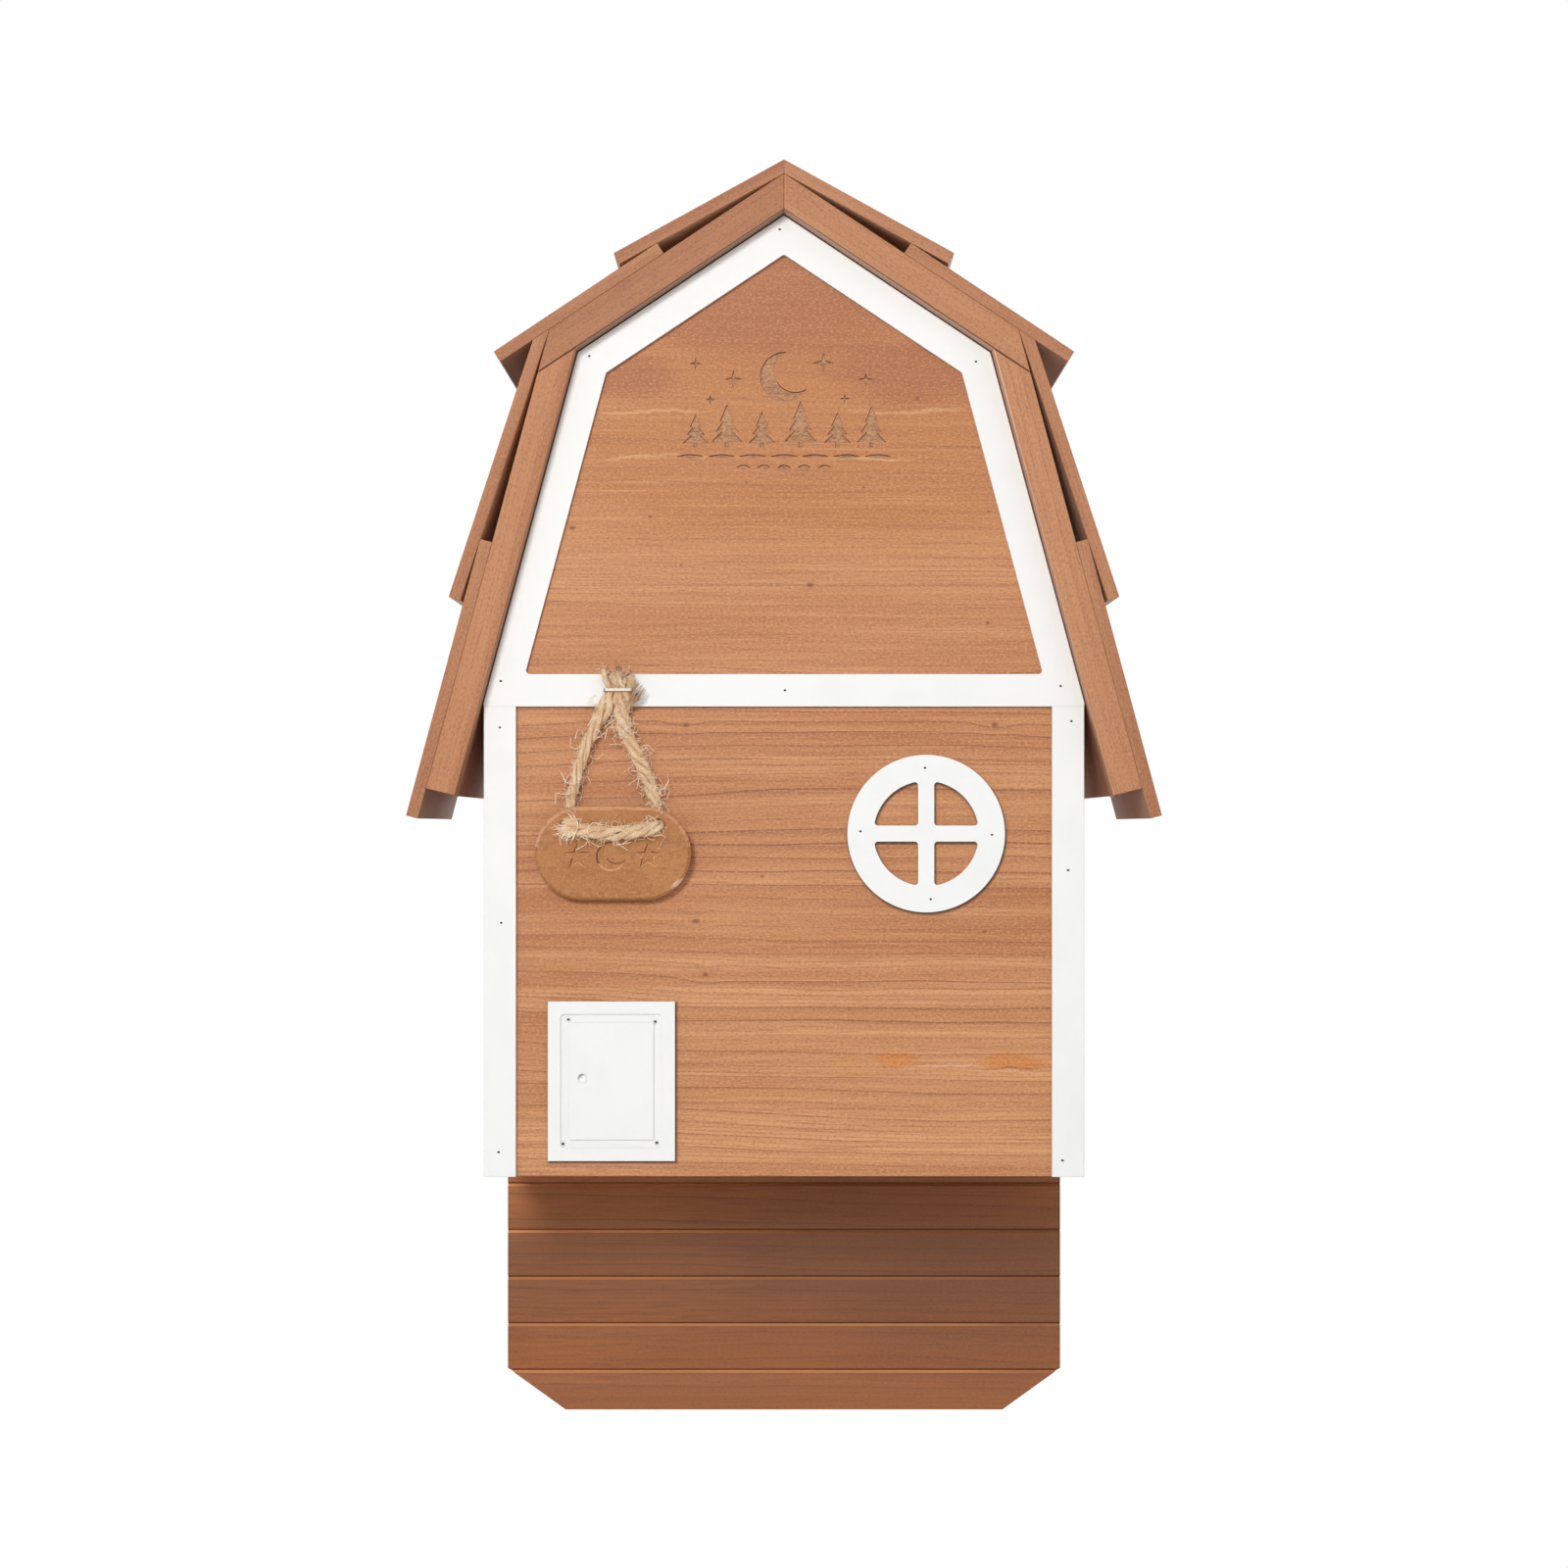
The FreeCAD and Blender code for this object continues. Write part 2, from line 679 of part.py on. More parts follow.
def sub_parts():
    full_rope = rope()
    parts = {
        "back_panel": back_panel(),
        "front_panel": front_panel(),
        "gable_trim": gable_trim(),
        "window_ring": window_ring(),
        "door_plate": door_plate(),
        "sign_plate": sign_plate(),
        "rope_loop": full_rope.cut(swing_zone(swing_split_radius)),
        "rope_ends": full_rope.common(swing_zone(swing_split_radius - rope_clearance)),
        "staple": staple(),
        "trim_brads": group(trim_brads()),
        "partition_brads": group(partition_brads()),
        "roof_brads": group(roof_brads() + [mirrored(b) for b in roof_brads()]),
        "back_brads": group(back_brads()),
    }
    right_hand = {
        "side_wall": side_wall(),
        "upper_deck": roof_piece(upper_deck_outline()),
        "lower_deck": roof_piece(lower_deck_outline()),
        "ridge_board": roof_piece(ridge_outline()),
        "upper_eave_board": roof_piece(upper_eave_outline()),
        "lower_top_board": roof_piece(top_board_outline()),
        "lower_eave_board": roof_piece(lower_eave_outline()),
    }
    for name, shape in right_hand.items():
        parts[name + "_right"] = shape
        parts[name + "_left"] = mirrored(shape)
    for side, name in ((-1, "left"), (1, "right")):
        parts["post_trim_" + name] = post_trim(side)
        parts["hanger_plate_" + name] = hanger_plate(side)
    for number, y in enumerate(partition_centres, 1):
        parts["roost_partition_%d" % number] = partition(y)
    return parts


os.makedirs("parts", exist_ok=True)
for name, shape in sorted(sub_parts().items()):
    if not shape.isValid():
        raise ValueError(name + " is not a valid shape")
    shape.exportStep("parts/%s.step" % name)
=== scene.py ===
import json
import math

import bmesh
import bpy
import numpy as np
from mathutils import Matrix, Vector


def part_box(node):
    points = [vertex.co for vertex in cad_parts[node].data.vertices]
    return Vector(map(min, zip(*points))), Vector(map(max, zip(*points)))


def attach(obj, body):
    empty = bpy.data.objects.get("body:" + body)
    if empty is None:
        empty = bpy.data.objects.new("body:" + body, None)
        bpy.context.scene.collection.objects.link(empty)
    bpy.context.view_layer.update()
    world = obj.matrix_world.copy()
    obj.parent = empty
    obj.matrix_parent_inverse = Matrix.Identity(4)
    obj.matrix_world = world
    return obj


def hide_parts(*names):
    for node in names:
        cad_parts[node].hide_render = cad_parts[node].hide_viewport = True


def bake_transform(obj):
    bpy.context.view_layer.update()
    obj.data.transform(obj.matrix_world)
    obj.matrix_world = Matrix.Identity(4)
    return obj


# A barn-shaped bat box that hangs on a wall. Metres; X runs across the front, Y from the
# front to the wall, Z up. Sections follow the box as it is put together.
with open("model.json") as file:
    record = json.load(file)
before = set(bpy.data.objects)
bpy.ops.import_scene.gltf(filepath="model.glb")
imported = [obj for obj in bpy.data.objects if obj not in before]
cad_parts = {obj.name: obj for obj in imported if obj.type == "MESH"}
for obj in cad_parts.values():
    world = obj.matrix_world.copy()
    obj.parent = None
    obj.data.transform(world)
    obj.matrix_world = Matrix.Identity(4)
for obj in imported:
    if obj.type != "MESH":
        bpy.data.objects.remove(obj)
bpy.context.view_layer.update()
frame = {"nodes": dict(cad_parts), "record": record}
nodes = frame["nodes"]


# Back board
# One softwood board that backs the four chambers and runs on below them as the landing
# board. Its face has level V grooves for claws, and it is stained a red-brown.
def tone(red, green, blue):
    """A display colour, 0 to 255, in the linear values that a node takes."""
    parts = [c / 255 for c in (red, green, blue)]
    return tuple(c / 12.92 if c <= 0.04045 else ((c + 0.055) / 1.055) ** 2.4
                 for c in parts) + (1.0,)


def add(tree, kind, values=(), **settings):
    """A new node in a tree. A value that is a socket is linked, any other one is set."""
    made = tree.nodes.new(kind)
    for key, value in settings.items():
        setattr(made, key, value)
    for key, value in dict(values).items():
        if isinstance(value, bpy.types.NodeSocket):
            tree.links.new(value, made.inputs[key])
        else:
            made.inputs[key].default_value = value
    return made


class Shade:
    """A value in a shader's node tree; an expression on such values adds its Math nodes."""

    def __init__(self, tree, socket=None):
        self.tree, self.socket = tree, socket

    def node(self, kind, values=(), out=0, **settings):
        plain = {key: value.socket if isinstance(value, Shade) else value
                 for key, value in dict(values).items()}
        made = add(self.tree, "ShaderNode" + kind, plain, **settings)
        return Shade(self.tree, made.outputs[out] if made.outputs else None)

    def maths(self, operation, *values):
        return self.node("Math", enumerate(values), operation=operation)

    def __add__(self, other):
        return self.maths("ADD", self, other)

    __radd__ = __add__

    def __mul__(self, other):
        return self.maths("MULTIPLY", self, other)

    def __sub__(self, other):
        return self.maths("SUBTRACT", self, other)

    def __rsub__(self, other):
        return self.maths("SUBTRACT", other, self)

    def maximum(self, other):
        return self.maths("MAXIMUM", self, other)

    def absolute(self):
        return self.maths("ABSOLUTE", self)

    def smooth(self, low, high):
        return self.node("MapRange", {"Value": self, "From Min": low, "From Max": high},
                         interpolation_type="SMOOTHSTEP")

    def fade(self, low, high):
        return 1.0 - self.smooth(low, high)

    def mixed(self, first, second):
        return self.node("Mix", {0: self, 6: first, 7: second}, out=2, data_type="RGBA")

    def vector(self, operation, *values, out=0):
        return self.node("VectorMath", enumerate(values), out, operation=operation)

    def times(self, scales):
        return self.vector("MULTIPLY", self, scales)

    def away(self, point):
        return self.vector("SUBTRACT", self, point)

    def length(self):
        return self.vector("LENGTH", self, out="Value")

    def part(self, axis):
        return self.node("SeparateXYZ", {0: self}, out=axis)

    def noise(self, scale=1.0, detail=2.0, roughness=0.5, out=0):
        return self.node("TexNoise", {"Vector": self, "Scale": scale, "Detail": detail,
                                      "Roughness": roughness}, out)


def blank(name):
    """A material without nodes but for the place on the object, which is returned with it."""
    material = bpy.data.materials.new(name)
    material.use_nodes = True
    material.node_tree.nodes.clear()
    return material, Shade(material.node_tree).node("TexCoord", out="Object")


def finished(colour, roughness, bump=None, **plain):
    """Ends a material with its shader. bump is a height with its strength and depth, and plain
    holds further inputs, _ for a space in a name."""
    values = {"Base Color": colour, "Roughness": roughness}
    values.update({key.replace("_", " "): value for key, value in plain.items()})
    if bump:
        values["Normal"] = colour.node("Bump", zip(("Height", "Strength", "Distance"), bump))
    colour.node("OutputMaterial", {"Surface": colour.node("BsdfPrincipled", values)})


# A knot's colour, and the dark brown of painted shade.
KNOT = tone(128, 70, 44)
PAINTED_SHADE_BROWN = tone(62, 36, 20)
LARGE_KNOT = 0.0016
RAGGED = 0.003


def timber(name, body, line, pale, turn=0.0, seed=0.0, rings=230.0, lined=0.75, coarse=1.0,
           knots=(), patches=(), calm=None, streaks=None, painted_shade=None, edges=None):
    """Stained softwood, its grain along X turned about Y. rings is the year rings in a metre
    of its width, and lined and coarse are how much they and the sanding show. calm and streaks
    hold the heights between which the rings and some fine streaks fade. One hook gives how much
    painted shade darkens a place, and edges colours faces by the way they face, mostly with
    painted light and shade."""
    material, place = blank(name)
    level = place.part("Z")
    along = place.node("Mapping", {"Vector": place, "Rotation": (0.0, turn, 0.0),
                                   "Location": (seed * 1.37, seed * 0.71, seed * 0.93)})
    drift = along.times((1.5, 7.0, 7.0)).noise()
    wander = along.times((6.0, 45.0, 45.0)).noise()
    fibre = along.times((46.0, 820.0, 820.0)).noise(1.0, 3.0, 0.6)
    band = along.times((1.4, 62.0, 62.0)).noise(1.0, 3.0, 0.6)
    sand = along.times((520.0, 1000.0, 1000.0)).noise(1.0, 2.0, 0.7)
    cloud = along.times((5.0, 22.0, 22.0)).noise(1.0, 3.0).smooth(0.3, 0.75)
    region = along.times((1.3, 6.0, 6.0)).noise().smooth(0.33, 0.66)

    ring = (along.part("Z") * 0.86 + along.part("Y") * 0.5) * rings + drift * 6.5 + wander
    for x, z, radius in knots:
        if radius > LARGE_KNOT:
            near = place.away((x, 0.0, z)).times((55.0, 0.0, 130.0)).length()
            ring = ring + near.fade(0.0, 1.0) * 0.45
    year = ring.node("TexWhiteNoise", {"W": ring.maths("FLOOR", ring)},
                     noise_dimensions="1D")
    phase = ring.maths("FRACT", ring)
    late = phase.smooth(0.25, 0.95) * 0.34 + phase.smooth(0.84, 0.94) * 0.66
    late = late * phase.fade(0.955, 1.0) * (year * 0.8 + 0.2) * (region * 0.6 + 0.4)
    thin = ring.maths("FRACT", ring * 2.6 + wander * 0.7)
    thin = thin.smooth(0.55, 0.9) * thin.fade(0.92, 1.0) * band.smooth(0.42, 0.6)
    late = (late * lined).maximum(thin * (0.34 * lined))
    blotch = cloud * 0.4 + band.smooth(0.38, 0.62) * 0.6
    if calm:
        quiet = level.smooth(*calm) * 0.5
        late = late * (1.0 - quiet)
        blotch = blotch * (1.0 - quiet * 1.2) + quiet * 0.6
    colour = blotch.mixed(body, pale)

    if patches:
        bend = (place.times((26.0, 0.0, 0.0)).noise(1.0, 1.0) - 0.5) * 0.007
        warp = place.noise(210.0, out="Color").times((RAGGED, 0.0, RAGGED))
        warp = warp.vector("ADD", place, warp)
        warp = warp.vector("ADD", warp, bend.node("CombineXYZ", {"Z": bend}))
    for x, z, half_width, half_height, (stain, strength) in patches:
        off = warp.away((x + RAGGED / 2, 0.0, z + RAGGED / 2))
        reach = off.times((1.0 / half_width, 0.0, 1.0 / half_height)).length()
        edge = reach + (wander - 0.5) * 1.2 + (fibre - 0.5) * 0.9
        colour = (edge.fade(0.5, 1.2) * strength).mixed(colour, stain)

    colour = late.mixed(colour, line)
    colour = (fibre.smooth(0.48, 0.78) * 0.34 * coarse).mixed(colour, line)
    if streaks:
        streak = along.times((8.0, 480.0, 480.0)).noise(1.0, 3.0, 0.65)
        shown = 1.0 - level.smooth(*streaks) * 0.75
        colour = (streak.smooth(0.55, 0.68) * shown * 0.40).mixed(colour, pale)
        colour = (streak.fade(0.33, 0.45) * shown * 0.30).mixed(colour, line)
    colour = (sand.smooth(0.5, 0.68) * 0.50 * coarse).mixed(colour, pale)
    colour = (sand.fade(0.32, 0.49) * 0.36 * coarse).mixed(colour, line)
    for x, z, radius in knots:
        reach = place.away((x, 0.0, z)).times((0.8 / radius, 0.0, 1.1 / radius)).length()
        reach = reach + (fibre - 0.5) * 0.8
        colour = (reach.fade(0.2, 1.0) * 0.85).mixed(colour, KNOT)
    # Painted shade, as strong as the hook gives it at each place.
    if painted_shade:
        colour = painted_shade(place).mixed(colour, PAINTED_SHADE_BROWN)
    if edges:
        colour = edges(place, cloud, colour)
    height = fibre * 0.5 + sand * 0.5 - late * 0.4
    finished(colour, 0.62 - late * 0.12 + (sand - 0.5) * 0.15, (height, 0.35 * coarse, 0.0004))
    return material


SHARP_ANGLE = math.radians(28)
SOFT_ANGLE = 0.36
HOLE_WALL_AREA = 5e-5
HOLE_WALL_WIDTH = 0.0016


def eased(node, name, material, width=0.0004, segments=2):
    """A copy of a piece that stands for it, its sharp edges eased but not those of brad holes,
    whose walls are small faces with a short edge."""
    work = bmesh.new()
    work.from_mesh(nodes[node].data)
    bmesh.ops.remove_doubles(work, verts=work.verts, dist=1e-6)
    bmesh.ops.dissolve_limit(work, angle_limit=math.radians(0.5), verts=work.verts,
                             edges=work.edges)
    holes = {f for f in work.faces if f.calc_area() < HOLE_WALL_AREA
             and min(e.calc_length() for e in f.edges) < HOLE_WALL_WIDTH}
    sharp = [e for e in work.edges if len(e.link_faces) == 2
             and e.calc_face_angle(0.0) > SHARP_ANGLE
             and not holes.intersection(e.link_faces)]
    bmesh.ops.bevel(work, geom=sharp, offset=width, segments=segments, profile=0.5,
                    affect="EDGES", clamp_overlap=True)
    return put(work, name, node, material)


def crisp(work):
    """Keeps smooth shading from running over the sharper edges."""
    for edge in work.edges:
        edge.smooth = len(edge.link_faces) == 2 and edge.calc_face_angle(0.0) < SOFT_ANGLE


def placed(name, data):
    """A new object in the scene."""
    thing = bpy.data.objects.new(name, data)
    bpy.context.scene.collection.objects.link(thing)
    return thing


def saved(work, mesh, materials=()):
    """Writes a worked mesh back and gives it its materials."""
    work.to_mesh(mesh)
    work.free()
    for material in materials:
        mesh.materials.append(material)
    return mesh


def put(work, name, node, *materials):
    """The worked mesh as a smooth piece, which stands for a node where one is given."""
    bmesh.ops.recalc_face_normals(work, faces=work.faces)
    for face in work.faces:
        face.smooth = True
    crisp(work)
    piece = placed(name, saved(work, bpy.data.meshes.new(name), materials))
    if node:
        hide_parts(node)
        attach(piece, body_of_node[node])
    return piece


body_of_node = {node: body for body, names in frame["record"]["behaviour"]["bodies"].items()
                for node in names}
# Painted highlight for the grooves' lower walls, and painted shade for seams and walls facing
# down.
GROOVE_HIGHLIGHT = tone(238, 164, 108)
SEAM_SHADE = tone(62, 36, 22)


def shade_below_box(place):
    """Painted shade: the landing board is darker in a level band not far below the box."""
    level = place.part("Z")
    return level.smooth(-0.135, -0.070) * level.fade(-0.064, -0.028) * 0.46


def groove_walls(place, cloud, colour):
    """The lower walls of the landing board's grooves are painted pale as highlight, less so
    under the box and on the right, and the upper walls are painted dark as shade."""
    across, level = place.part("X"), place.part("Z")
    upward = place.node("NewGeometry", out="Normal").part("Z")
    below = level.fade(-0.006, -0.003)
    shelter = across.smooth(-0.10, 0.03) * level.smooth(-0.13, -0.04)
    # How strong the painted highlight is on the lower walls.
    amount = (1.0 - across.smooth(0.10, 0.15) * 0.5) * (1.0 - shelter * 0.7)
    amount = amount * (cloud * 0.25 + level.smooth(-0.075, -0.045) * 0.45 + 0.52)
    colour = (amount * upward.smooth(0.35, 0.6) * below).mixed(colour, GROOVE_HIGHLIGHT)
    return ((upward * -1.0).smooth(0.35, 0.6) * below * 0.5).mixed(colour, SEAM_SHADE)


# The back board's lighter patch high on the left is painted light; the other is darker, low on
# the right.
back_wood = timber("stained_back_board", tone(150, 87, 44), tone(102, 55, 28),
                   tone(164, 98, 52), seed=3.1, rings=170.0, lined=0.8, coarse=0.9,
                   patches=[(-0.110, -0.050, 0.100, 0.080, (tone(180, 108, 56), 0.75)),
                            (0.110, -0.100, 0.090, 0.050, (tone(130, 74, 38), 0.5))],
                   painted_shade=shade_below_box, edges=groove_walls)
eased("back_panel", "back_board", back_wood, 0.0003)


# Side walls
# Two softwood boards, their heads cut to the steep slope, with three upright housings each
# for the roost partitions. Brads through the back board hold them.
side_wood = timber("stained_side_board", tone(202, 140, 100), tone(152, 96, 64),
                   tone(212, 154, 112), turn=math.radians(90), seed=5.7, lined=0.6)
for hand in ("left", "right"):
    eased("side_wall_" + hand, "side_board_" + hand, side_wood)


# Roost partitions
# Three bare boards that stand in the side walls' housings and part the four chambers. They
# are left rough-sawn and are grooved like the landing board, so that bats can hang on.
rough_wood = timber("rough_inner_board", tone(196, 150, 106), tone(150, 104, 68),
                    tone(212, 170, 126), seed=8.2, rings=180.0, coarse=1.8)
for number in (1, 2, 3):
    eased("roost_partition_%d" % number, "roost_board_%d" % number, rough_wood, 0.0003)


# Front board
# One wide softwood board with level grain, brushed with an orange-brown stain. Pin knots,
# pale streaks in the gable and two patches of resin filler near the foot show in it.

# Pin knots: x, z and radius.
PIN_KNOTS = [
    (0.0724, 0.4228, 0.0017), (-0.0727, 0.3584, 0.0012), (-0.0559, 0.3320, 0.0011),
    (0.0142, 0.3212, 0.0023), (0.1112, 0.3611, 0.0011), (-0.1150, 0.3522, 0.0018),
    (0.0433, 0.3743, 0.0011), (-0.0205, 0.3772, 0.0010), (0.1107, 0.3007, 0.0014),
    (0.0405, 0.3964, 0.0010), (-0.0532, 0.2452, 0.0023), (0.1145, 0.2452, 0.0023),
    (-0.0479, 0.1387, 0.0023), (-0.0426, 0.1095, 0.0019), (0.1195, 0.1790, 0.0016),
    (0.1090, 0.1330, 0.0014), (-0.0120, 0.1630, 0.0012)]
# Colours of the stain's patches and of the filler, each with its strength.
WARM = (tone(185, 119, 66), 0.75)
FLUSH = (tone(166, 101, 64), 0.75)
STREAK = (tone(222, 168, 120), 0.65)
RESIN = (tone(208, 146, 84), 0.65)
FILLER = (tone(212, 134, 66), 0.95)
SPLIT = (tone(230, 180, 142), 0.6)
TEAR = (tone(132, 74, 44), 0.7)
# Patches: x and z of the middle, half the width and height, and the colour.
PATCHES = [
    # The flush under the apex is a redder tone, and also painted shade from the roof above it.
    (0.0, 0.400, 0.150, 0.085, WARM), (0.0, 0.488, 0.115, 0.050, FLUSH),
    (0.070, 0.436, 0.050, 0.020, FLUSH), (-0.085, 0.436, 0.030, 0.014, FLUSH),
    (-0.072, 0.4155, 0.034, 0.0011, STREAK), (0.070, 0.4158, 0.034, 0.0013, STREAK),
    (-0.072, 0.3912, 0.040, 0.0009, STREAK), (0.052, 0.3905, 0.022, 0.0009, STREAK),
    (0.0340, 0.0610, 0.008, 0.0070, RESIN), (0.0617, 0.0644, 0.0150, 0.0045, FILLER),
    (0.1225, 0.0615, 0.0190, 0.0058, FILLER), (0.0860, 0.0598, 0.024, 0.0008, SPLIT),
    (0.1200, 0.0585, 0.019, 0.0006, TEAR), (0.1210, 0.0570, 0.020, 0.0008, SPLIT)]
# The window's pane radius and bar half width, and the width and shift of the painted shadow.
PANE_RADIUS = 0.0286
BAR_HALF = 0.00435
LINE_WIDTH = 0.0016
LINE_SHIFT = (0.0006, -0.0010)


def trim_shadow(place):
    """Painted shadow of the window and the door, cast below and to the right of them."""
    def from_middle(low, high):
        return place.away(((low.x + high.x) / 2 + LINE_SHIFT[0], 0.0,
                           (low.z + high.z) / 2 + LINE_SHIFT[1]))

    low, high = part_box("window_ring")
    off = from_middle(low, high)
    across, upright = off.part("X").absolute(), off.part("Z").absolute()
    out = off.times((1.0, 0.0, 1.0)).length()
    radius = (high.x - low.x) / 2
    rim = out.smooth(PANE_RADIUS - LINE_WIDTH, PANE_RADIUS)
    bar = across.maths("MINIMUM", across, upright).fade(BAR_HALF, BAR_HALF + LINE_WIDTH)
    window = rim.maximum(bar) * out.fade(radius, radius + LINE_WIDTH)
    low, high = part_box("door_plate")
    off = from_middle(low, high)
    across = off.part("X").absolute() - (high.x - low.x) / 2
    upright = off.part("Z").absolute() - (high.z - low.z) / 2
    door = across.maximum(upright).fade(0.0, LINE_WIDTH)
    return window.maximum(door) * 0.6


front_wood = timber("stained_front_board", tone(180, 115, 71), tone(136, 73, 36),
                    tone(219, 160, 110), seed=1.3, rings=165.0, lined=1.15,
                    knots=PIN_KNOTS, patches=PATCHES, calm=(0.20, 0.36),
                    streaks=(0.38, 0.44), painted_shade=trim_shadow)
front_board = eased("front_panel", "front_board", front_wood)


# Carved ornament
# A crescent moon and stars over a row of young firs, routed a little into the front board
# before it was stained, so its floor is duller and fuzzier than the face.
def drawn_in(points, inset):
    """The outline moved in along its corners' normals, less where it is narrow."""
    moved, count = [], len(points)
    for n, (x, z) in enumerate(points):
        across = min(math.dist(points[n], points[m]) for m in range(count)
                     if 1 < abs(n - m) < count - 1)
        before, after = Vector(points[n - 1]), Vector(points[(n + 1) % len(points)])
        into = (Vector((x, z)) - before).normalized()
        on = (after - Vector((x, z))).normalized()
        normal = Vector((-into.y - on.y, into.x + on.x))
        normal = normal / max(normal.length, 0.7) if normal.length else normal
        reach = math.copysign(min(abs(inset), 0.3 * across), inset)
        moved.append((x + normal.x * reach, z + normal.y * reach))
    return moved


CUTTER_PROUD = 0.002


def outline_prism(work, points, depth, draft):
    """A cutter of one outline, upright ahead of the face and narrowing from there down."""
    rows = ((-CUTTER_PROUD, points), (0.0, points), (depth, drawn_in(points, draft)))
    rings = [[work.verts.new((x, y, z)) for x, z in row] for y, row in rows]
    for near, far in zip(rings, rings[1:]):
        for n in range(len(near)):
            work.faces.new((near[n - 1], near[n], far[n], far[n - 1]))
    for end in (0, -1):
        work.faces.new(rings[end])


def evaluated(thing):
    """A plain mesh of an object as its modifiers leave it."""
    graph = bpy.context.evaluated_depsgraph_get()
    return bpy.data.meshes.new_from_object(thing.evaluated_get(graph))


LIGHT_FROM = Vector((-0.6, 0.0, 0.8))


def carve(piece, outlines, depth, draft, materials, place):
    """Routs outlines into a face; materials are the floor's, then the painted shade and the
    painted highlight for walls turned from and to the light.
    """
    work = bmesh.new()
    for points in outlines:
        outline_prism(work, points, depth, draft)
    bmesh.ops.recalc_face_normals(work, faces=work.faces)
    for face in work.faces:
        flat = abs(face.normal.y) > 0.9
        face.material_index = 0 if flat else 1 if face.normal.dot(LIGHT_FROM) > 0 else 2
    bmesh.ops.transform(work, matrix=place, verts=work.verts)
    cutter = placed("cutter", saved(work, bpy.data.meshes.new("cutter"), materials))
    cut = piece.modifiers.new("cut", "BOOLEAN")
    cut.object, cut.operation, cut.solver = cutter, "DIFFERENCE", "EXACT"
    cut.material_mode = "TRANSFER"
    made = evaluated(piece)
    piece.modifiers.remove(cut)
    piece.data = made
    bpy.data.objects.remove(cutter)
    work = bmesh.new()
    work.from_mesh(made)
    crisp(work)
    saved(work, made)


def crescent(x, z, radius, bite, shift, turn=0.0, count=20):
    """A circle less another one of radius bite, whose middle is moved by shift."""
    reach = (radius ** 2 - bite ** 2 + shift ** 2) / (2 * shift)
    tip = math.sqrt(radius ** 2 - reach ** 2)
    outer_from = math.atan2(tip, reach)
    outer = [(radius * math.cos(a), radius * math.sin(a))
             for a in np.linspace(outer_from, 2 * math.pi - outer_from, count)]
    inner_from = math.atan2(tip, reach - shift)
    inner = [(shift + bite * math.cos(a), bite * math.sin(a))
             for a in np.linspace(2 * math.pi - inner_from, inner_from, count)][1:-1]
    c, s = math.cos(turn), math.sin(turn)
    return [(x + c * u - s * v, z + s * u + c * v) for u, v in outer + inner]


def star(x, z, radius, waist=0.3, points=4):
    row = []
    for n in range(2 * points):
        a = math.pi / 2 + n * math.pi / points
        r = radius if n % 2 == 0 else radius * waist
        row.append((x + r * math.cos(a), z + r * math.sin(a)))
    return row


FIR_TIERS = 3
FIR_TRUNK = 0.0011


def fir(x, z, height, half):
    """A fir of three tiers on a short trunk; half is half its width at the foot."""
    right = [(FIR_TRUNK, z), (FIR_TRUNK, z + height * 0.13)]
    for n in range(FIR_TIERS):
        low = z + height * (0.13 + 0.87 * n / FIR_TIERS * 0.82)
        top = z + height * (0.13 + 0.87 * (n + 1) / FIR_TIERS * 0.82)
        wide = half * (1.0 - 0.27 * n)
        right += [(wide, low), (wide * 0.36, top) if n < FIR_TIERS - 1 else (0.0, z + height)]
    left = [(-u, v) for u, v in reversed(right[:-1])]
    return [(x + u, v) for u, v in right + left]


def lens(x, z, half_width, half_height, count=9):
    arc = [(x + half_width * u, half_height * (1 - u * u)) for u in np.linspace(-1, 1, count)]
    return [(x, z - rise) for x, rise in arc] + [(x, z + rise) for x, rise in arc[-2:0:-1]]


carved_wood = timber("carved_floor", tone(170, 118, 80), tone(120, 78, 50),
                     tone(196, 146, 102), seed=2.2, rings=300.0, coarse=2.2)
# Copies of the floor's wood painted dark as shade and pale as highlight, for the routed walls.
carved_shade = timber("carved_shade", tone(112, 68, 42), tone(90, 52, 32), tone(130, 82, 52),
                      seed=2.9, rings=300.0)
carved_light = timber("carved_light", tone(206, 150, 106), tone(176, 118, 78),
                      tone(222, 172, 128), seed=2.9, rings=300.0)
FIR_FOOT = 0.3960
FIRS = ((-0.0480, 0.0180, 0.0070), (-0.0310, 0.0235, 0.0084), (-0.0120, 0.0195, 0.0072),
        (0.0090, 0.0255, 0.0088), (0.0290, 0.0190, 0.0074), (0.0475, 0.0225, 0.0080))
UPPER_CUTS = 0.3912
LOWER_CUTS = 0.3852
CARVED_DEPTH = 0.0013
CARVED_DRAFT = 0.00035
ornament = [crescent(0.0005, 0.4345, 0.0135, 0.0114, 0.0064, turn=math.radians(28)),
            star(0.0215, 0.4420, 0.0058), star(-0.0275, 0.4330, 0.0050),
            star(0.0445, 0.4330, 0.0040), star(-0.0480, 0.4415, 0.0036),
            star(0.0330, 0.4225, 0.0028), star(-0.0400, 0.4220, 0.0026)]
ornament += [fir(x, FIR_FOOT, height, half) for x, height, half in FIRS]
ornament += [lens(x, UPPER_CUTS, 0.0074, 0.0011) for x in np.linspace(-0.0510, 0.0510, 7)]
ornament += [lens(x, LOWER_CUTS, 0.0036, 0.0014) for x in np.linspace(-0.0220, 0.0220, 5)]
face_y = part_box("front_panel")[0].y
carve(front_board, ornament, CARVED_DEPTH, CARVED_DRAFT,
      (carved_wood, carved_shade, carved_light), Matrix.Translation((0.0, face_y, 0.0)))
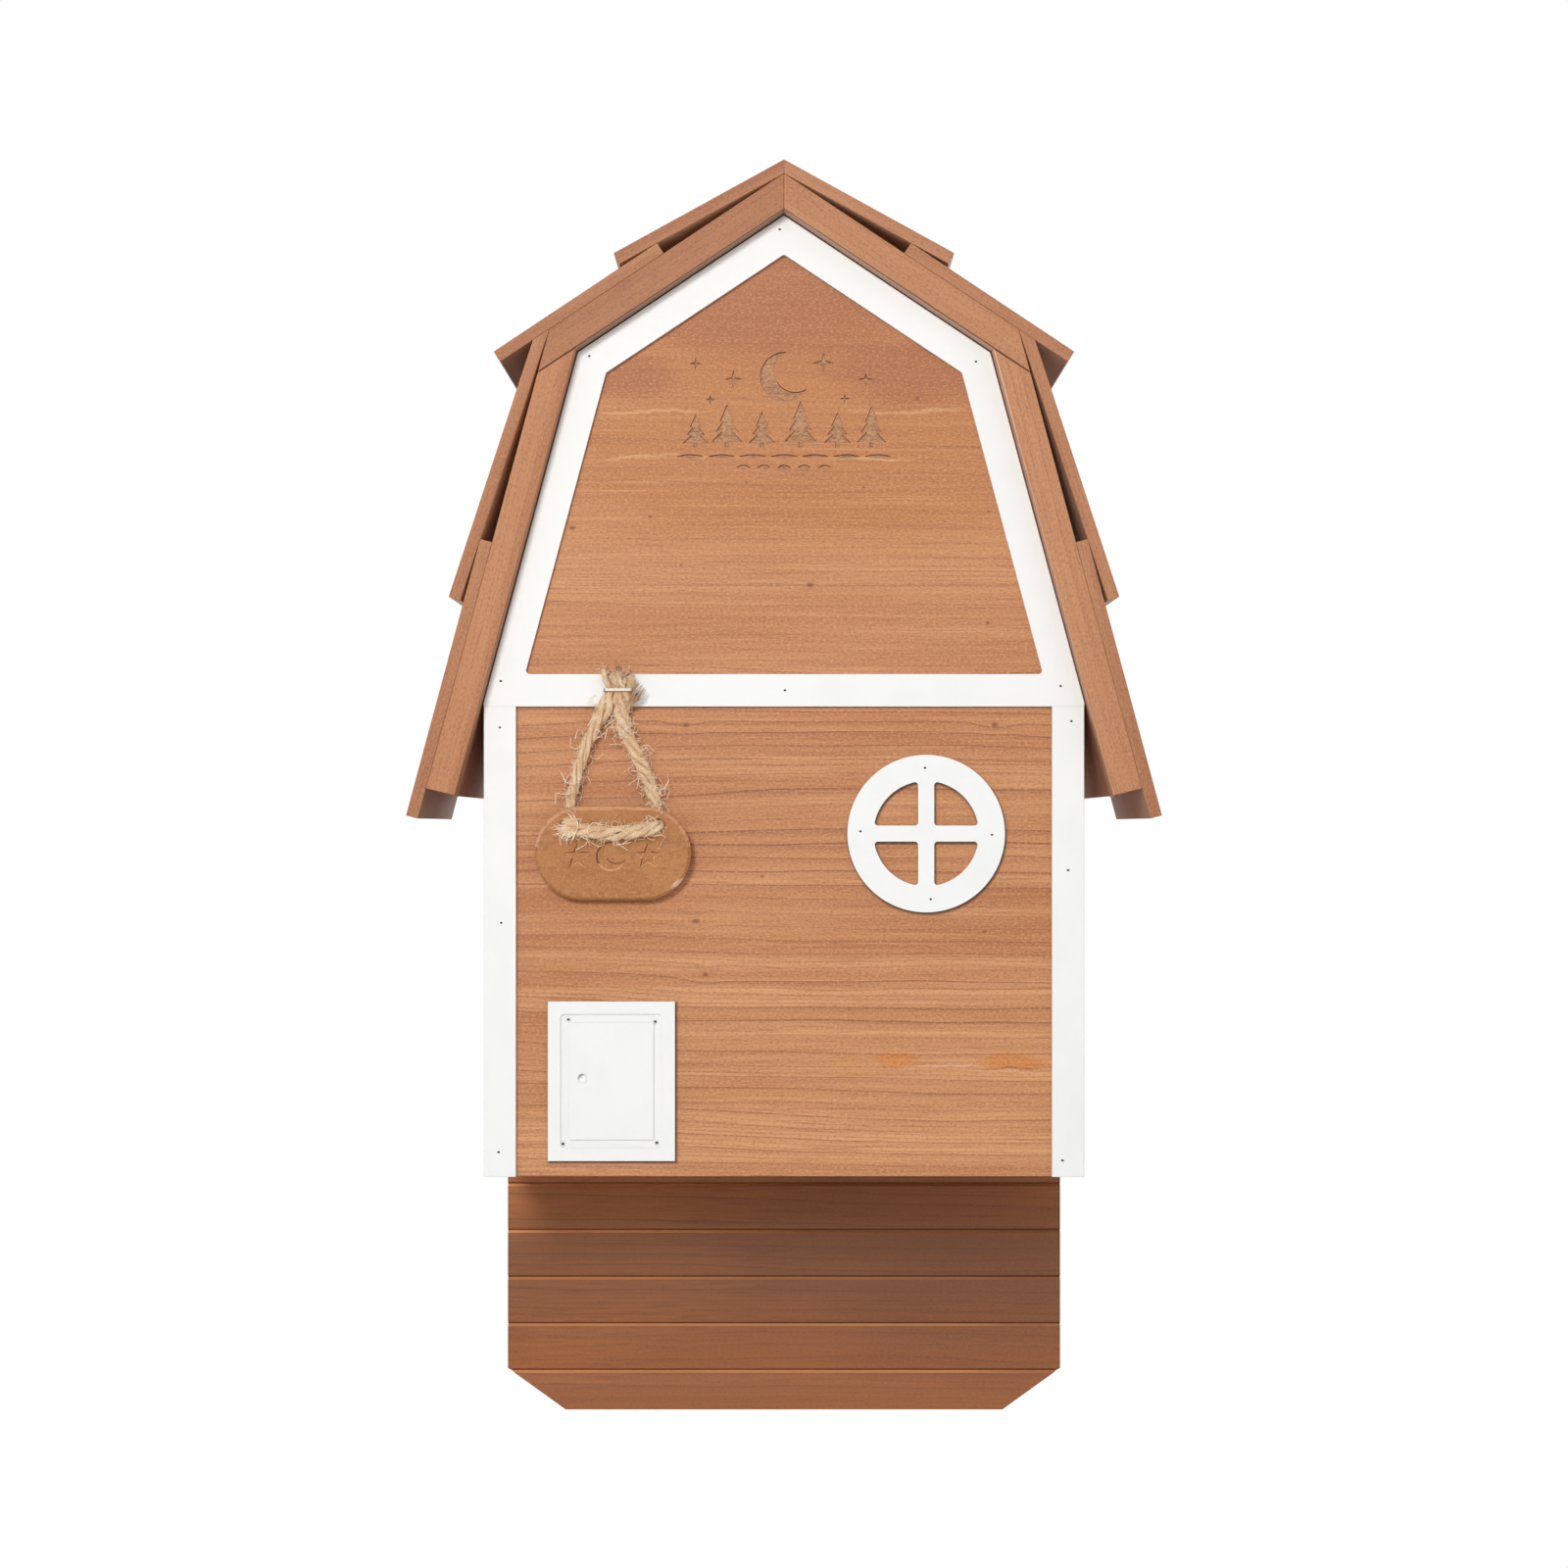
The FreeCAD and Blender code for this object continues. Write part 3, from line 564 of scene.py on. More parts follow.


# Gable trim, corner posts, round window and sham door
# Thin boards painted matt white before they were pinned on. The paint is a little thin on the
# cut edges, and the brush and the wood under it leave a faint texture. Faces turned from the
# light are painted grey as shade.
def white_paint(name, turn=0.0, amount=0.3):
    """Matt white paint brushed along X, or that turned about Y; the last argument is how far the
    thin paint on the edges and the painted shade show.
    """
    material, place = blank(name)
    along = place.node("Mapping", {"Vector": place, "Rotation": (0.0, turn, 0.0)})
    brush = along.times((40.0, 400.0, 400.0)).noise(1.0, 3.0)
    cloud = place.noise(28.0, 3.0)
    grit = place.noise(900.0, 3.0, 0.7)
    colour = cloud.smooth(0.35, 0.7).mixed(tone(245, 245, 243), tone(242, 243, 240))
    colour = (grit.smooth(0.66, 0.8) * 0.12).mixed(colour, tone(206, 198, 190))
    normal = place.node("NewGeometry", out="Normal")
    side = normal.part("Y").absolute().fade(0.45, 0.9)
    thin = side * (grit.smooth(0.4, 0.7) * 0.3 + amount)
    colour = thin.mixed(colour, tone(190, 180, 170))
    # Painted shade: faces turned from the light are greyed.
    unlit = normal.vector("DOT_PRODUCT", normal, -LIGHT_FROM, out="Value")
    colour = (unlit.smooth(0.1, 0.6) * (0.3 + amount)).mixed(colour, tone(150, 142, 134))
    finished(colour, 0.5 + brush * 0.1, (brush * 0.6 + grit * 0.5 + cloud, 0.25, 0.0003))
    return material


paint = white_paint("white_paint")
upright_paint = white_paint("white_paint_upright", math.radians(90))
eased("gable_trim", "gable_ring", paint, 0.00035)
for hand in ("left", "right"):
    eased("post_trim_" + hand, "corner_post_" + hand, upright_paint, 0.00035)
eased("window_ring", "round_window", paint, 0.0004)
eased("door_plate", "sham_door", white_paint("white_paint_door", math.radians(90), 0.6),
      0.0003)


# Brads
# Flat steel nails. The trim's were driven after painting and stand a little below the face,
# each in a small lip of paint that the nail pushed up.
steel, place = blank("brad_steel")
grain = place.noise(2500.0)
finished(grain.mixed(tone(22, 14, 16), tone(52, 38, 36)), 0.55 + grain * 0.2,
         (grain, 0.2, 0.0001), Metallic=0.2)
for node in ("trim_brads", "partition_brads", "roof_brads", "back_brads"):
    nodes[node].data.materials.clear()
    nodes[node].data.materials.append(steel)


def node_group(name, sizes):
    """A geometry node group that takes a mesh and the sizes, and its inputs."""
    tree = bpy.data.node_groups.new(name, "GeometryNodeTree")
    for way in ("OUTPUT", "INPUT"):
        tree.interface.new_socket("Geometry", in_out=way, socket_type="NodeSocketGeometry")
    for label, value in sizes.items():
        kind = "NodeSocketInt" if isinstance(value, int) else "NodeSocketFloat"
        tree.interface.new_socket(label, in_out="INPUT", socket_type=kind).default_value = value
    return tree, add(tree, "NodeGroupInput").outputs


def wire(tree, line, radius, sides):
    """A round wire along a curve."""
    section = add(tree, "GeometryNodeCurvePrimitiveCircle",
                  {"Resolution": sides, "Radius": radius})
    return add(tree, "GeometryNodeCurveToMesh",
               {"Curve": line, "Profile Curve": section.outputs[0]}).outputs[0]


def strewn(tree, points, instance, turn, scale, material):
    """Ends a group: the instance at each point, made real, given its material and smooth."""
    stand = add(tree, "GeometryNodeInstanceOnPoints",
                {"Points": points, "Instance": instance, "Rotation": turn, "Scale": scale})
    real = add(tree, "GeometryNodeRealizeInstances", {0: stand.outputs[0]})
    coat = add(tree, "GeometryNodeSetMaterial",
               {"Geometry": real.outputs[0], "Material": material})
    smooth = add(tree, "GeometryNodeSetShadeSmooth", {0: coat.outputs[0]})
    add(tree, "NodeGroupOutput", {0: smooth.outputs[0]})


def grown(tree, source, name, **sizes):
    """The plain mesh that a node group makes from a source mesh."""
    carrier = placed(name + "_carrier", source)
    modifier = carrier.modifiers.new(name, "NODES")
    modifier.node_group = tree
    for item in tree.interface.items_tree:
        if item.in_out == "INPUT" and item.name in sizes:
            modifier[item.identifier] = sizes[item.name]
    mesh = evaluated(carrier)
    carrier.modifiers.remove(modifier)
    bpy.data.objects.remove(carrier)
    return placed(name, mesh)


def front_ends(node):
    """The front end of each separate solid of a node."""
    work = bmesh.new()
    work.from_mesh(nodes[node].data)
    bmesh.ops.remove_doubles(work, verts=work.verts, dist=1e-7)
    left, found = set(work.verts), []
    while left:
        solid, queue = [], [left.pop()]
        while queue:
            vert = queue.pop()
            solid.append(vert.co.copy())
            near = left.intersection(edge.other_vert(vert) for edge in vert.link_edges)
            left -= near
            queue += near
        x = sum(c.x for c in solid) / len(solid)
        z = sum(c.z for c in solid) / len(solid)
        found.append((x, min(c.y for c in solid), z))
    work.free()
    return sorted(found)


LIP_SUNK = 0.0001
lips, entry = node_group("paint_lips", {"Radius": 0.0009, "Wire": 0.0001, "Seed": 4})
ring = add(lips, "GeometryNodeCurvePrimitiveCircle",
           {"Resolution": 14, "Radius": entry["Radius"]})
lip = wire(lips, ring.outputs[0], entry["Wire"], 6)
size = add(lips, "FunctionNodeRandomValue", {2: 0.75, 3: 1.1, "Seed": entry["Seed"]},
           data_type="FLOAT")
strewn(lips, entry["Geometry"], lip, (math.radians(90), 0.0, 0.0), size.outputs[1], paint)
trim_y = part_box("gable_trim")[0].y
spots = bpy.data.meshes.new("brad_places")
spots.from_pydata([(x, trim_y + LIP_SUNK, z) for x, y, z in front_ends("trim_brads")], [], [])
paint_lips = grown(lips, spots, "paint_lips")
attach(paint_lips, "house")


# Roof decks and lapped boards
# Thick decks carry the roof: the upper pair meets plumb at the ridge, and each lower one butts
# under an upper one's planed end. Four thin boards a side are lapped over them. Grain runs down
# the slope, the seams are painted dark as shade, and some edges and undersides as light.
def slope(node):
    """The turn of the grain of a roof piece, from its longest edge in the gable plane."""
    mesh = nodes[node].data
    corners = [vertex.co for vertex in mesh.vertices]
    runs = [corners[edge.vertices[0]] - corners[edge.vertices[1]] for edge in mesh.edges]
    longest = max((run for run in runs if abs(run.y) < 1e-6),
                  key=lambda run: math.hypot(run.x, run.z))
    return math.atan2(longest.z, longest.x)


# Painted highlight for edges turned to the light.
EDGE_HIGHLIGHT = tone(236, 196, 164)


def roof_faces(under, pale, butted, inner, seam):
    """What a roof piece's faces are coloured by the way they face: an underside of its own
    colour and strength, partly painted light; pale rounded edges, both wear and painted light;
    painted shade in the seams; and a painted highlight on the inner side's edge."""
    def recoloured(place, _, colour):
        normal = place.node("NewGeometry", out="Normal")
        facing = normal.part("Y").absolute()
        down = normal.part("Z") * -1.0
        underside = down.smooth(0.1, 0.3) * facing.fade(0.2, 0.35)
        colour = (underside * under[1]).mixed(colour, under[0])
        rounded = facing.smooth(0.2, 0.35) * facing.fade(0.94, 0.99)
        crease = (down.absolute() if butted else down).smooth(0.26, 0.32)
        # Rounded edges painted pale: wear, and painted light against the shade between pieces.
        colour = (rounded * (1.0 - crease) * 0.5).mixed(colour, pale)
        # Painted shade in the seams, on rounded edges at the seams.
        colour = (crease * rounded * seam).mixed(colour, SEAM_SHADE)
        # A painted highlight on rounded edges turned to the light on the left.
        inward = (normal.part("X") * -1.0).smooth(0.30, 0.36) * rounded
        return (inward * inner).mixed(colour, EDGE_HIGHLIGHT)
    return recoloured


ROOF_STAIN = {"upper_deck_left": (156, 95, 58), "upper_deck_right": (171, 110, 70),
              "lower_deck_left": (171, 109, 67), "lower_deck_right": (176, 115, 75)}
BOARD_STAIN = (164, 104, 66)
# Underside tints, paler on the right than on the left, are partly painted light.
SOFFIT = {"left": tone(146, 116, 98), "right": tone(190, 160, 142)}
# The undersides of the ridge boards and of the steep slope's top boards are painted very pale:
# bare wood, and painted light that lifts the deep shade in the gaps between the boards.
BARE_AND_LIT = {"left": (tone(236, 196, 160), 0.9), "right": (tone(214, 176, 146), 0.85)}
for seed, part in enumerate(("upper_deck", "lower_deck", "ridge_board", "upper_eave_board",
                             "lower_top_board", "lower_eave_board")):
    deck = part.endswith("deck")
    piece_name = "deck_" + part[:5] if deck else part
    for hand in ("left", "right"):
        node = "%s_%s" % (part, hand)
        red, green, blue = ROOF_STAIN.get(node, BOARD_STAIN)
        pale = tone(red + 26, green + 28, blue + 25)
        under = (SOFFIT[hand], 0.35 if part == "lower_deck" else 0.7)
        if part in ("ridge_board", "lower_top_board"):
            under = BARE_AND_LIT[hand]
        # Strengths of the painted highlight on the inner edge and of the painted shade in the
        # seams.
        faces = roof_faces(under, pale, butted=part == "lower_deck",
                           inner=0.8 * (node == "lower_deck_right"),
                           seam=0.7 if deck else 0.15)
        wood = timber("roof_wood_" + node, tone(red, green, blue),
                      tone(red - 42, green - 44, blue - 30), pale, turn=slope(node),
                      seed=11.3 + 2.7 * seed + 5.1 * (hand == "left"), rings=190.0,
                      lined=0.45, coarse=1.2, edges=faces)
        eased(node, "%s_%s_wood" % (piece_name, hand), wood, 0.0006 if deck else 0.0003)


# Hanger plates
# Two pressed keyhole plates of bright zinc steel let into the back board. Each is held by
# two riveted spikes, and a wall screw's head drops through the keyhole.
zinc, place = blank("zinc_steel")
spangle = place.node("TexVoronoi", {"Vector": place, "Scale": 420.0}, out="Color").part("X")
scratch = place.times((2600.0, 900.0, 160.0)).noise()
finished(spangle.mixed(tone(176, 178, 180), tone(206, 208, 210)),
         0.3 + spangle * 0.15 + scratch * 0.1, (scratch, 0.15, 0.0001), Metallic=0.9)
for hand in ("left", "right"):
    eased("hanger_plate_" + hand, "keyhole_plate_" + hand, zinc, 0.00015)


# Hanging sign
# A small plate of oiled fibreboard with round ends, two holes for its rope and a row of night
# signs routed in its face. The rounded rim is painted pale as a highlight.
CHIP = (-0.0576, 0.0, 0.1594)
CHIP_TURN = math.radians(40)


def fibreboard(name, first, second, speck):
    """Oiled fibreboard in two tones with paler specks, and a pale chip in its rim."""
    material, place = blank(name)
    fine = place.noise(760.0, 3.0, 0.7)
    felt = place.times((1.0, 1.0, 1.6)).noise(300.0, 3.0)
    cloud = place.noise(34.0, 2.0)
    colour = cloud.smooth(0.35, 0.7).mixed(first, second)
    colour = (fine.smooth(0.5, 0.68) * 0.55).mixed(colour, speck)
    colour = (felt.fade(0.32, 0.5) * 0.5).mixed(colour, tone(146, 92, 50))
    off = place.node("Mapping", {"Vector": place.away(CHIP),
                                 "Rotation": (0.0, CHIP_TURN, 0.0)})
    reach = off.times((170.0, 0.0, 700.0)).length()
    colour = (reach + felt * 0.8).fade(0.8, 1.5).mixed(colour, tone(224, 188, 154))
    finished(colour, 0.55 + fine * 0.15, (fine + felt, 0.25, 0.0003))
    return material


sign_face = fibreboard("sign_face", tone(180, 121, 70), tone(171, 112, 63), tone(208, 152, 100))
sign_rim = fibreboard("sign_rim", tone(216, 160, 116), tone(198, 138, 92), tone(226, 176, 132))
# Copies of the face painted pale as highlight and dark as shade, for the routed walls.
sign_light = fibreboard("sign_light", tone(226, 172, 124), tone(214, 158, 110),
                        tone(238, 194, 150))
sign_shade = fibreboard("sign_shade", tone(128, 80, 44), tone(118, 72, 38), tone(150, 98, 58))
sign = eased("sign_plate", "moon_sign", sign_face, 0.0005, segments=3)
sign.data.materials.append(sign_rim)
flat_face = max(sign.data.polygons, key=lambda p: p.area if p.normal.y < 0 else 0)
sign_front = flat_face.normal.copy()
# The pale rim, a painted highlight, takes in the rounded edge above but only its steeper part
# below.
RIM_ABOVE = 0.995
RIM_BELOW = 0.3
for polygon in sign.data.polygons:
    face_limit = RIM_ABOVE if polygon.normal.z > 0 else RIM_BELOW
    polygon.material_index = 0 if polygon.normal.dot(sign_front) > face_limit else 1

# The signs are cut square to the face, which hangs a little out of plumb.
SIGNS_DOWN = 0.002
SIGNS_DEPTH = 0.0010
SIGNS_DRAFT = 0.0009
low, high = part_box("sign_plate")
moon_z = (low.z + high.z) / 2 - SIGNS_DOWN
on_plane = sign.data.vertices[flat_face.vertices[0]].co
moon_y = on_plane.y - sign_front.z * (moon_z - on_plane.z) / sign_front.y
on_face = Matrix.Translation(((low.x + high.x) / 2, moon_y, moon_z)) \
    @ Matrix.Rotation(math.asin(-sign_front.z), 4, "X")
motifs = [crescent(-0.0010, 0.0, 0.0080, 0.0060, 0.0040, turn=math.radians(38)),
          star(-0.0190, 0.0, 0.0076, waist=0.46, points=5),
          star(0.0190, 0.0, 0.0076, waist=0.46, points=5)]
carve(sign, motifs, SIGNS_DEPTH, SIGNS_DRAFT, (sign_face, sign_shade, sign_light), on_face)


# Staple
# A fine staple of galvanised flat wire driven through the cross rail, astride both ends of
# the rope, which it flattens.
galvanised, place = blank("galvanised_wire")
dull = place.noise(900.0, 3.0)
finished(dull.mixed(tone(150, 146, 138), tone(198, 194, 184)), 0.38 + dull * 0.25,
         (dull, 0.2, 0.0001), Metallic=0.75)
eased("staple", "wire_staple", galvanised, 0.0002)


# Rope
# A loop of three-strand laid jute, 6 mm thick. It comes down behind the sign, out through one
# hole, across the face and back through the other, and both cut ends lie under the staple.
SWING = Vector((-0.0895, -0.1413, 0.26388))
# X and Z of the rope's line from the swing's axis: down to the left hole, across the sign's
# face between the holes, and up from the right one.
DOWN = [(-0.0038, 0.0103), (-0.0032, 0.0040), (-0.0027, -0.0020), (-0.0165, -0.0255),
        (-0.0252, -0.0550)]
ACROSS = [(-0.0033, -0.0784)]
UP = [(0.0190, -0.0560), (0.0090, -0.0330), (0.0006, -0.0165), (0.0034, -0.0020),
      (0.0036, 0.0040), (0.0040, 0.0092)]
# X of the two holes, and Y and Z of the rope where it goes in behind and in front.
HOLES = (-0.1173, -0.0675)
BEHIND = (-0.1413, 0.19144)
AHEAD = (-0.15391, 0.18967)
FRONT_TUCK = 0.0009
END_LEAN = (0.0055, 0.0022)
route = [(SWING.x + x, SWING.y, SWING.z + z) for x, z in DOWN]
route += [(HOLES[0],) + BEHIND, (HOLES[0],) + AHEAD]
route += [(SWING.x + x, AHEAD[0] + FRONT_TUCK, SWING.z + z) for x, z in ACROSS]
route += [(HOLES[1],) + AHEAD, (HOLES[1],) + BEHIND]
route += [(SWING.x + x, SWING.y, SWING.z + z) for x, z in UP]
for end, lean in zip((0, -1), END_LEAN):
    x, y, z = route[end]
    route[end] = (x, y - lean, z)

line = bpy.data.curves.new("rope_line", "CURVE")
line.dimensions = "3D"
spline = line.splines.new("NURBS")
spline.points.add(len(route) - 1)
for point, co in zip(spline.points, route):
    point.co = (*co, 1.0)
spline.order_u = 3
spline.use_endpoint_u = True
spline.resolution_u = 24
line_object = placed("rope_line", line)
centreline = [v.co.copy() for v in evaluated(line_object).vertices]
bpy.data.objects.remove(line_object)


def reaches(points):
    """How far along their line each of the points lies."""
    reach = [0.0]
    for a, b in zip(points, points[1:]):
        reach.append(reach[-1] + (b - a).length)
    return reach


def evenly(points, pitch):
    """The line again in even steps of about the pitch, and how far along it each point lies."""
    reach = reaches(points)
    count = max(2, round(reach[-1] / pitch))
    at = np.linspace(0.0, reach[-1], count + 1)
    axes = [np.interp(at, reach, [p[i] for p in points]) for i in range(3)]
    return [Vector(p) for p in zip(*axes)], at.tolist()


def frames(points):
    """Tangent, and two directions square to it that don't twist, at each point."""
    found, side = [], None
    for n in range(len(points)):
        ahead = (points[min(n + 1, len(points) - 1)] - points[max(n - 1, 0)]).normalized()
        if side is None:
            side = ahead.cross(Vector((0, 1, 0))).normalized()
        side = (side - ahead * side.dot(ahead)).normalized()
        found.append((ahead, side, ahead.cross(side)))
    return found


def tube(work, uv, points, radii, sides, twist=0.0, cap=0):
    """A closed tube. Its UV holds metres along it and turns round it, twisted by so many turns
    in a metre; cap is its ends' material."""
    reach, rings = reaches(points), []
    for point, radius, (_, side, up) in zip(points, radii, frames(points)):
        rings.append([work.verts.new(point + radius * (math.cos(a) * side + math.sin(a) * up))
                      for a in (2 * math.pi * k / sides for k in range(sides))])
    for n in range(len(points) - 1):
        for k in range(sides):
            corners = ((n, k), (n, k + 1), (n + 1, k + 1), (n + 1, k))
            face = work.faces.new([rings[row][turn % sides] for row, turn in corners])
            for loop, (row, turn) in zip(face.loops, corners):
                loop[uv].uv = (reach[row], turn / sides + reach[row] * twist)
    for ring in (rings[0][::-1], rings[-1]):
        work.faces.new(ring).material_index = cap


WAVES = 5
rng = np.random.default_rng(7)


def wobble(at, scale):
    """A random wave along the rope, between -1 and 1, about scale long."""
    total = np.zeros(len(at))
    for n in range(WAVES):
        total += np.sin(np.array(at) * 2 * math.pi / (scale * (0.6 + 0.5 * n))
                        + rng.uniform(0, 6.28)) / WAVES
    return total.tolist()


STRANDS = 3
STRAND_SIDES = 12
STRAND_OFFSET = 0.00178
STRAND_RADIUS = 0.00150
YARN_TWIST = 34.0
# Thickness and lay at fractions of the rope's length: it is slacker in the right leg.
GIRTH = ((0.0, 0.10, 0.16, 0.30, 0.37, 0.42, 0.47, 0.58, 0.63, 0.69, 0.75, 0.90, 1.0),
         (1.08, 1.15, 1.05, 0.96, 0.92, 0.98, 1.22, 1.16, 0.98, 0.98, 1.18, 1.18, 1.06))
LAY = ((0.0, 0.35, 0.45, 0.6, 0.7, 1.0), (0.040, 0.040, 0.030, 0.030, 0.027, 0.030))
# From its ends the rope is spread, then open, then as laid; the staple pinches it.
SPLAY_FROM = 0.008
OPEN_TO = 0.012
OPEN_FADE = 0.018
PINCH_REACH = 0.0038
middle, at = evenly(centreline, 0.0008)
along_rope = frames(middle)
share = np.array(at) / at[-1]
girth = np.interp(share, *GIRTH).tolist()
turned = np.cumsum(2 * math.pi * np.gradient(at) / np.interp(share, *LAY)).tolist()
rope_work = bmesh.new()
rope_uv = rope_work.loops.layers.uv.new("yarn")
loose = wobble(at, 0.035)
tips = []
for k in range(STRANDS):
    own, thick = wobble(at, 0.018), wobble(at, 0.012)
    points, radii = [], []
    for n, (point, (_, side, up)) in enumerate(zip(middle, along_rope)):
        a = 2 * math.pi * k / STRANDS - turned[n] + 0.5 * loose[n] + 0.35 * own[n]
        from_end = min(at[n], at[-1] - at[n])
        opened = 1.0 - min(max((from_end - OPEN_TO) / OPEN_FADE, 0.0), 1.0) ** 2
        splay = 1.0 + 0.8 * max(0.0, 1.0 - from_end / SPLAY_FROM)
        pinch = math.exp(-((point.z - SWING.z) / PINCH_REACH) ** 2)
        out = STRAND_OFFSET * (1.0 + 0.16 * own[n]) * girth[n] * splay
        points.append(point + out * ((1.0 + 0.40 * opened) * math.cos(a) * side
                                     + (1.0 - 0.14 * opened - 0.45 * pinch) * math.sin(a) * up))
        radii.append(STRAND_RADIUS * (1.0 + 0.16 * thick[n] + 0.10 * opened - 0.12 * pinch)
                     * girth[n])
    tube(rope_work, rope_uv, points, radii, STRAND_SIDES, twist=YARN_TWIST, cap=1)
    tips += [(points[0], points[0] - points[4]), (points[-1], points[-1] - points[-5])]

jute, place = blank("jute")
yarn = place.node("UVMap", uv_map="yarn")
fibre = yarn.times((120.0, 11.0, 1.0)).noise(1.0, 3.0, 0.65)
streak = yarn.times((50.0, 5.0, 1.0)).noise()
patchy = place.noise(95.0, 3.0)
colour = patchy.smooth(0.35, 0.7).mixed(tone(230, 190, 146), tone(244, 212, 174))
colour = (fibre.fade(0.32, 0.52) * 0.5).mixed(colour, tone(176, 126, 84))
colour = (streak.smooth(0.5, 0.68) * 0.65).mixed(colour, tone(255, 238, 212))
finished(colour, 0.85, (fibre + streak * 0.6, 1.0, 0.0009))
cut_end, place = blank("jute_cut_end")
speck = place.noise(1600.0)
finished(speck.mixed(tone(120, 80, 60), tone(176, 132, 96)), 0.9)
rope = put(rope_work, "jute_rope", None, jute, cut_end)
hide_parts("rope_loop", "rope_ends")
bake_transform(rope)


# Rope hairs
# Jute sheds: short stiff fibres stand out all along the rope, with a few long curly ones.
# The loose fibres glow faintly: painted light that keeps them bright where they lie in shade.
fibre_skin, place = blank("jute_fibre")
dust = place.noise(160.0)
finished(dust.smooth(0.35, 0.65).mixed(tone(240, 214, 178), tone(255, 246, 228)), 0.8,
         Emission_Color=tone(226, 192, 150), Emission_Strength=0.12)

hairs, entry = node_group("rope_hairs", {"Density": 200000.0, "Turns": 0.3, "Reach": 0.0018,
                                         "Rise": 0.0020, "Thickness": 0.00012,
                                         "Ceiling": 1.0, "Seed": 3})
height = add(hairs, "ShaderNodeSeparateXYZ",
             {0: add(hairs, "GeometryNodeInputPosition").outputs[0]}).outputs["Z"]
below = add(hairs, "ShaderNodeMath", {0: height, 1: entry["Ceiling"]}, operation="LESS_THAN")
scatter = add(hairs, "GeometryNodeDistributePointsOnFaces",
              {"Mesh": entry["Geometry"], "Density": entry["Density"], "Seed": entry["Seed"],
               "Selection": below.outputs[0]})
curl = add(hairs, "GeometryNodeCurveSpiral",
           {"Resolution": 8, "Rotations": entry["Turns"], "Start Radius": 0.0,
            "End Radius": entry["Reach"], "Height": entry["Rise"]})
hair = wire(hairs, curl.outputs[0], entry["Thickness"], 3)
spin = add(hairs, "FunctionNodeRandomValue",
           {0: (-0.9, -0.9, -3.1), 1: (0.9, 0.9, 3.1), "Seed": entry["Seed"]},
           data_type="FLOAT_VECTOR")
tilt = add(hairs, "FunctionNodeRotateRotation",
           {0: scatter.outputs["Rotation"], 1: spin.outputs[0]}, rotation_space="LOCAL")
grow = add(hairs, "FunctionNodeRandomValue", {2: 0.35, 3: 1.25, "Seed": entry["Seed"]},
           data_type="FLOAT")
strewn(hairs, scatter.outputs["Points"], hair, tilt.outputs[0], grow.outputs[1], fibre_skin)
short_hair = grown(hairs, rope.data, "rope_hair_short")
long_hair = grown(hairs, rope.data, "rope_hair_long", Density=60000.0, Turns=0.62,
                  Reach=0.0062, Rise=0.0048, Thickness=0.00017, Seed=8,
                  Ceiling=SWING.z - 0.004)


# Rope ends
# Both ends were cut and have opened above the staple, each with tufts of loose fibres, and one
# more tuft points away to the right. Where the rope leaves the sign's left hole it has worn to
# a brush.
FIBRE_RADII = (0.00014, 0.00011, 0.00004)
FIBRE_SUNK = 0.002


def tuft(work, uv, root, ahead, count, length, spread, width, gauge=1.0, stray=0.16):
    """Loose fibres from round a root, more or less ahead. gauge is their thickness and stray
    how far each leaves the common way."""
    side = ahead.cross(Vector((0, 1, 0))).normalized()
    up = ahead.cross(side)
    for _ in range(count):
        a, reach = float(rng.uniform(0, 2 * math.pi)), width * math.sqrt(rng.uniform())
        off = math.cos(a) * side + math.sin(a) * up
        start = root + off * reach - ahead * FIBRE_SUNK
        way = ahead + off * spread * (0.3 + reach / width) + Vector(rng.normal(0, stray, 3))
        end = start + way.normalized() * float(length * rng.uniform(0.6, 1.15))
        mid = (start + end) / 2 + Vector(rng.normal(0, length * 0.09, 3))
        tube(work, uv, [start, mid, end], [gauge * radius for radius in FIBRE_RADII], 4)


def fringe(name, material, tufts):
    """One piece of loose fibres; tufts holds the sizes of each of its tufts."""
    work = bmesh.new()
    uv = work.loops.layers.uv.new("yarn")
    for sizes in tufts:
        tuft(work, uv, **sizes)
    return put(work, name, None, material)


cut_tufts = [dict(root=tip, ahead=away.normalized(), count=46, length=0.0021, spread=0.5,
                  width=STRAND_RADIUS) for tip, away in tips]
stray_tuft = dict(root=SWING + Vector((0.0066, -0.0026, -0.0062)),
                  ahead=Vector((0.55, -0.12, 0.83)), count=30, length=0.0120, spread=0.22,
                  width=0.0011, gauge=2.5, stray=0.05)
fray = fringe("rope_fray", jute, cut_tufts + [stray_tuft])
left_hole = Vector((HOLES[0], *AHEAD))
worn_tufts = [dict(root=left_hole + Vector((0.0045, -0.0010, 0.0004)),
                   ahead=Vector((-1.0, -0.22, 0.10)), count=120, length=0.0085, spread=0.5,
                   width=0.0026, gauge=1.5, stray=0.3),
              dict(root=left_hole + Vector((0.0010, -0.0016, -0.0010)),
                   ahead=Vector((-0.9, -0.15, -0.55)), count=40, length=0.0100, spread=0.5,
                   width=0.0016, gauge=1.4, stray=0.3)]
brush = fringe("rope_brush", fibre_skin, worn_tufts)
for piece in (short_hair, long_hair):
    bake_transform(piece)
for piece, body in ((fray, "house"), (brush, "sign")):
    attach(piece, body)


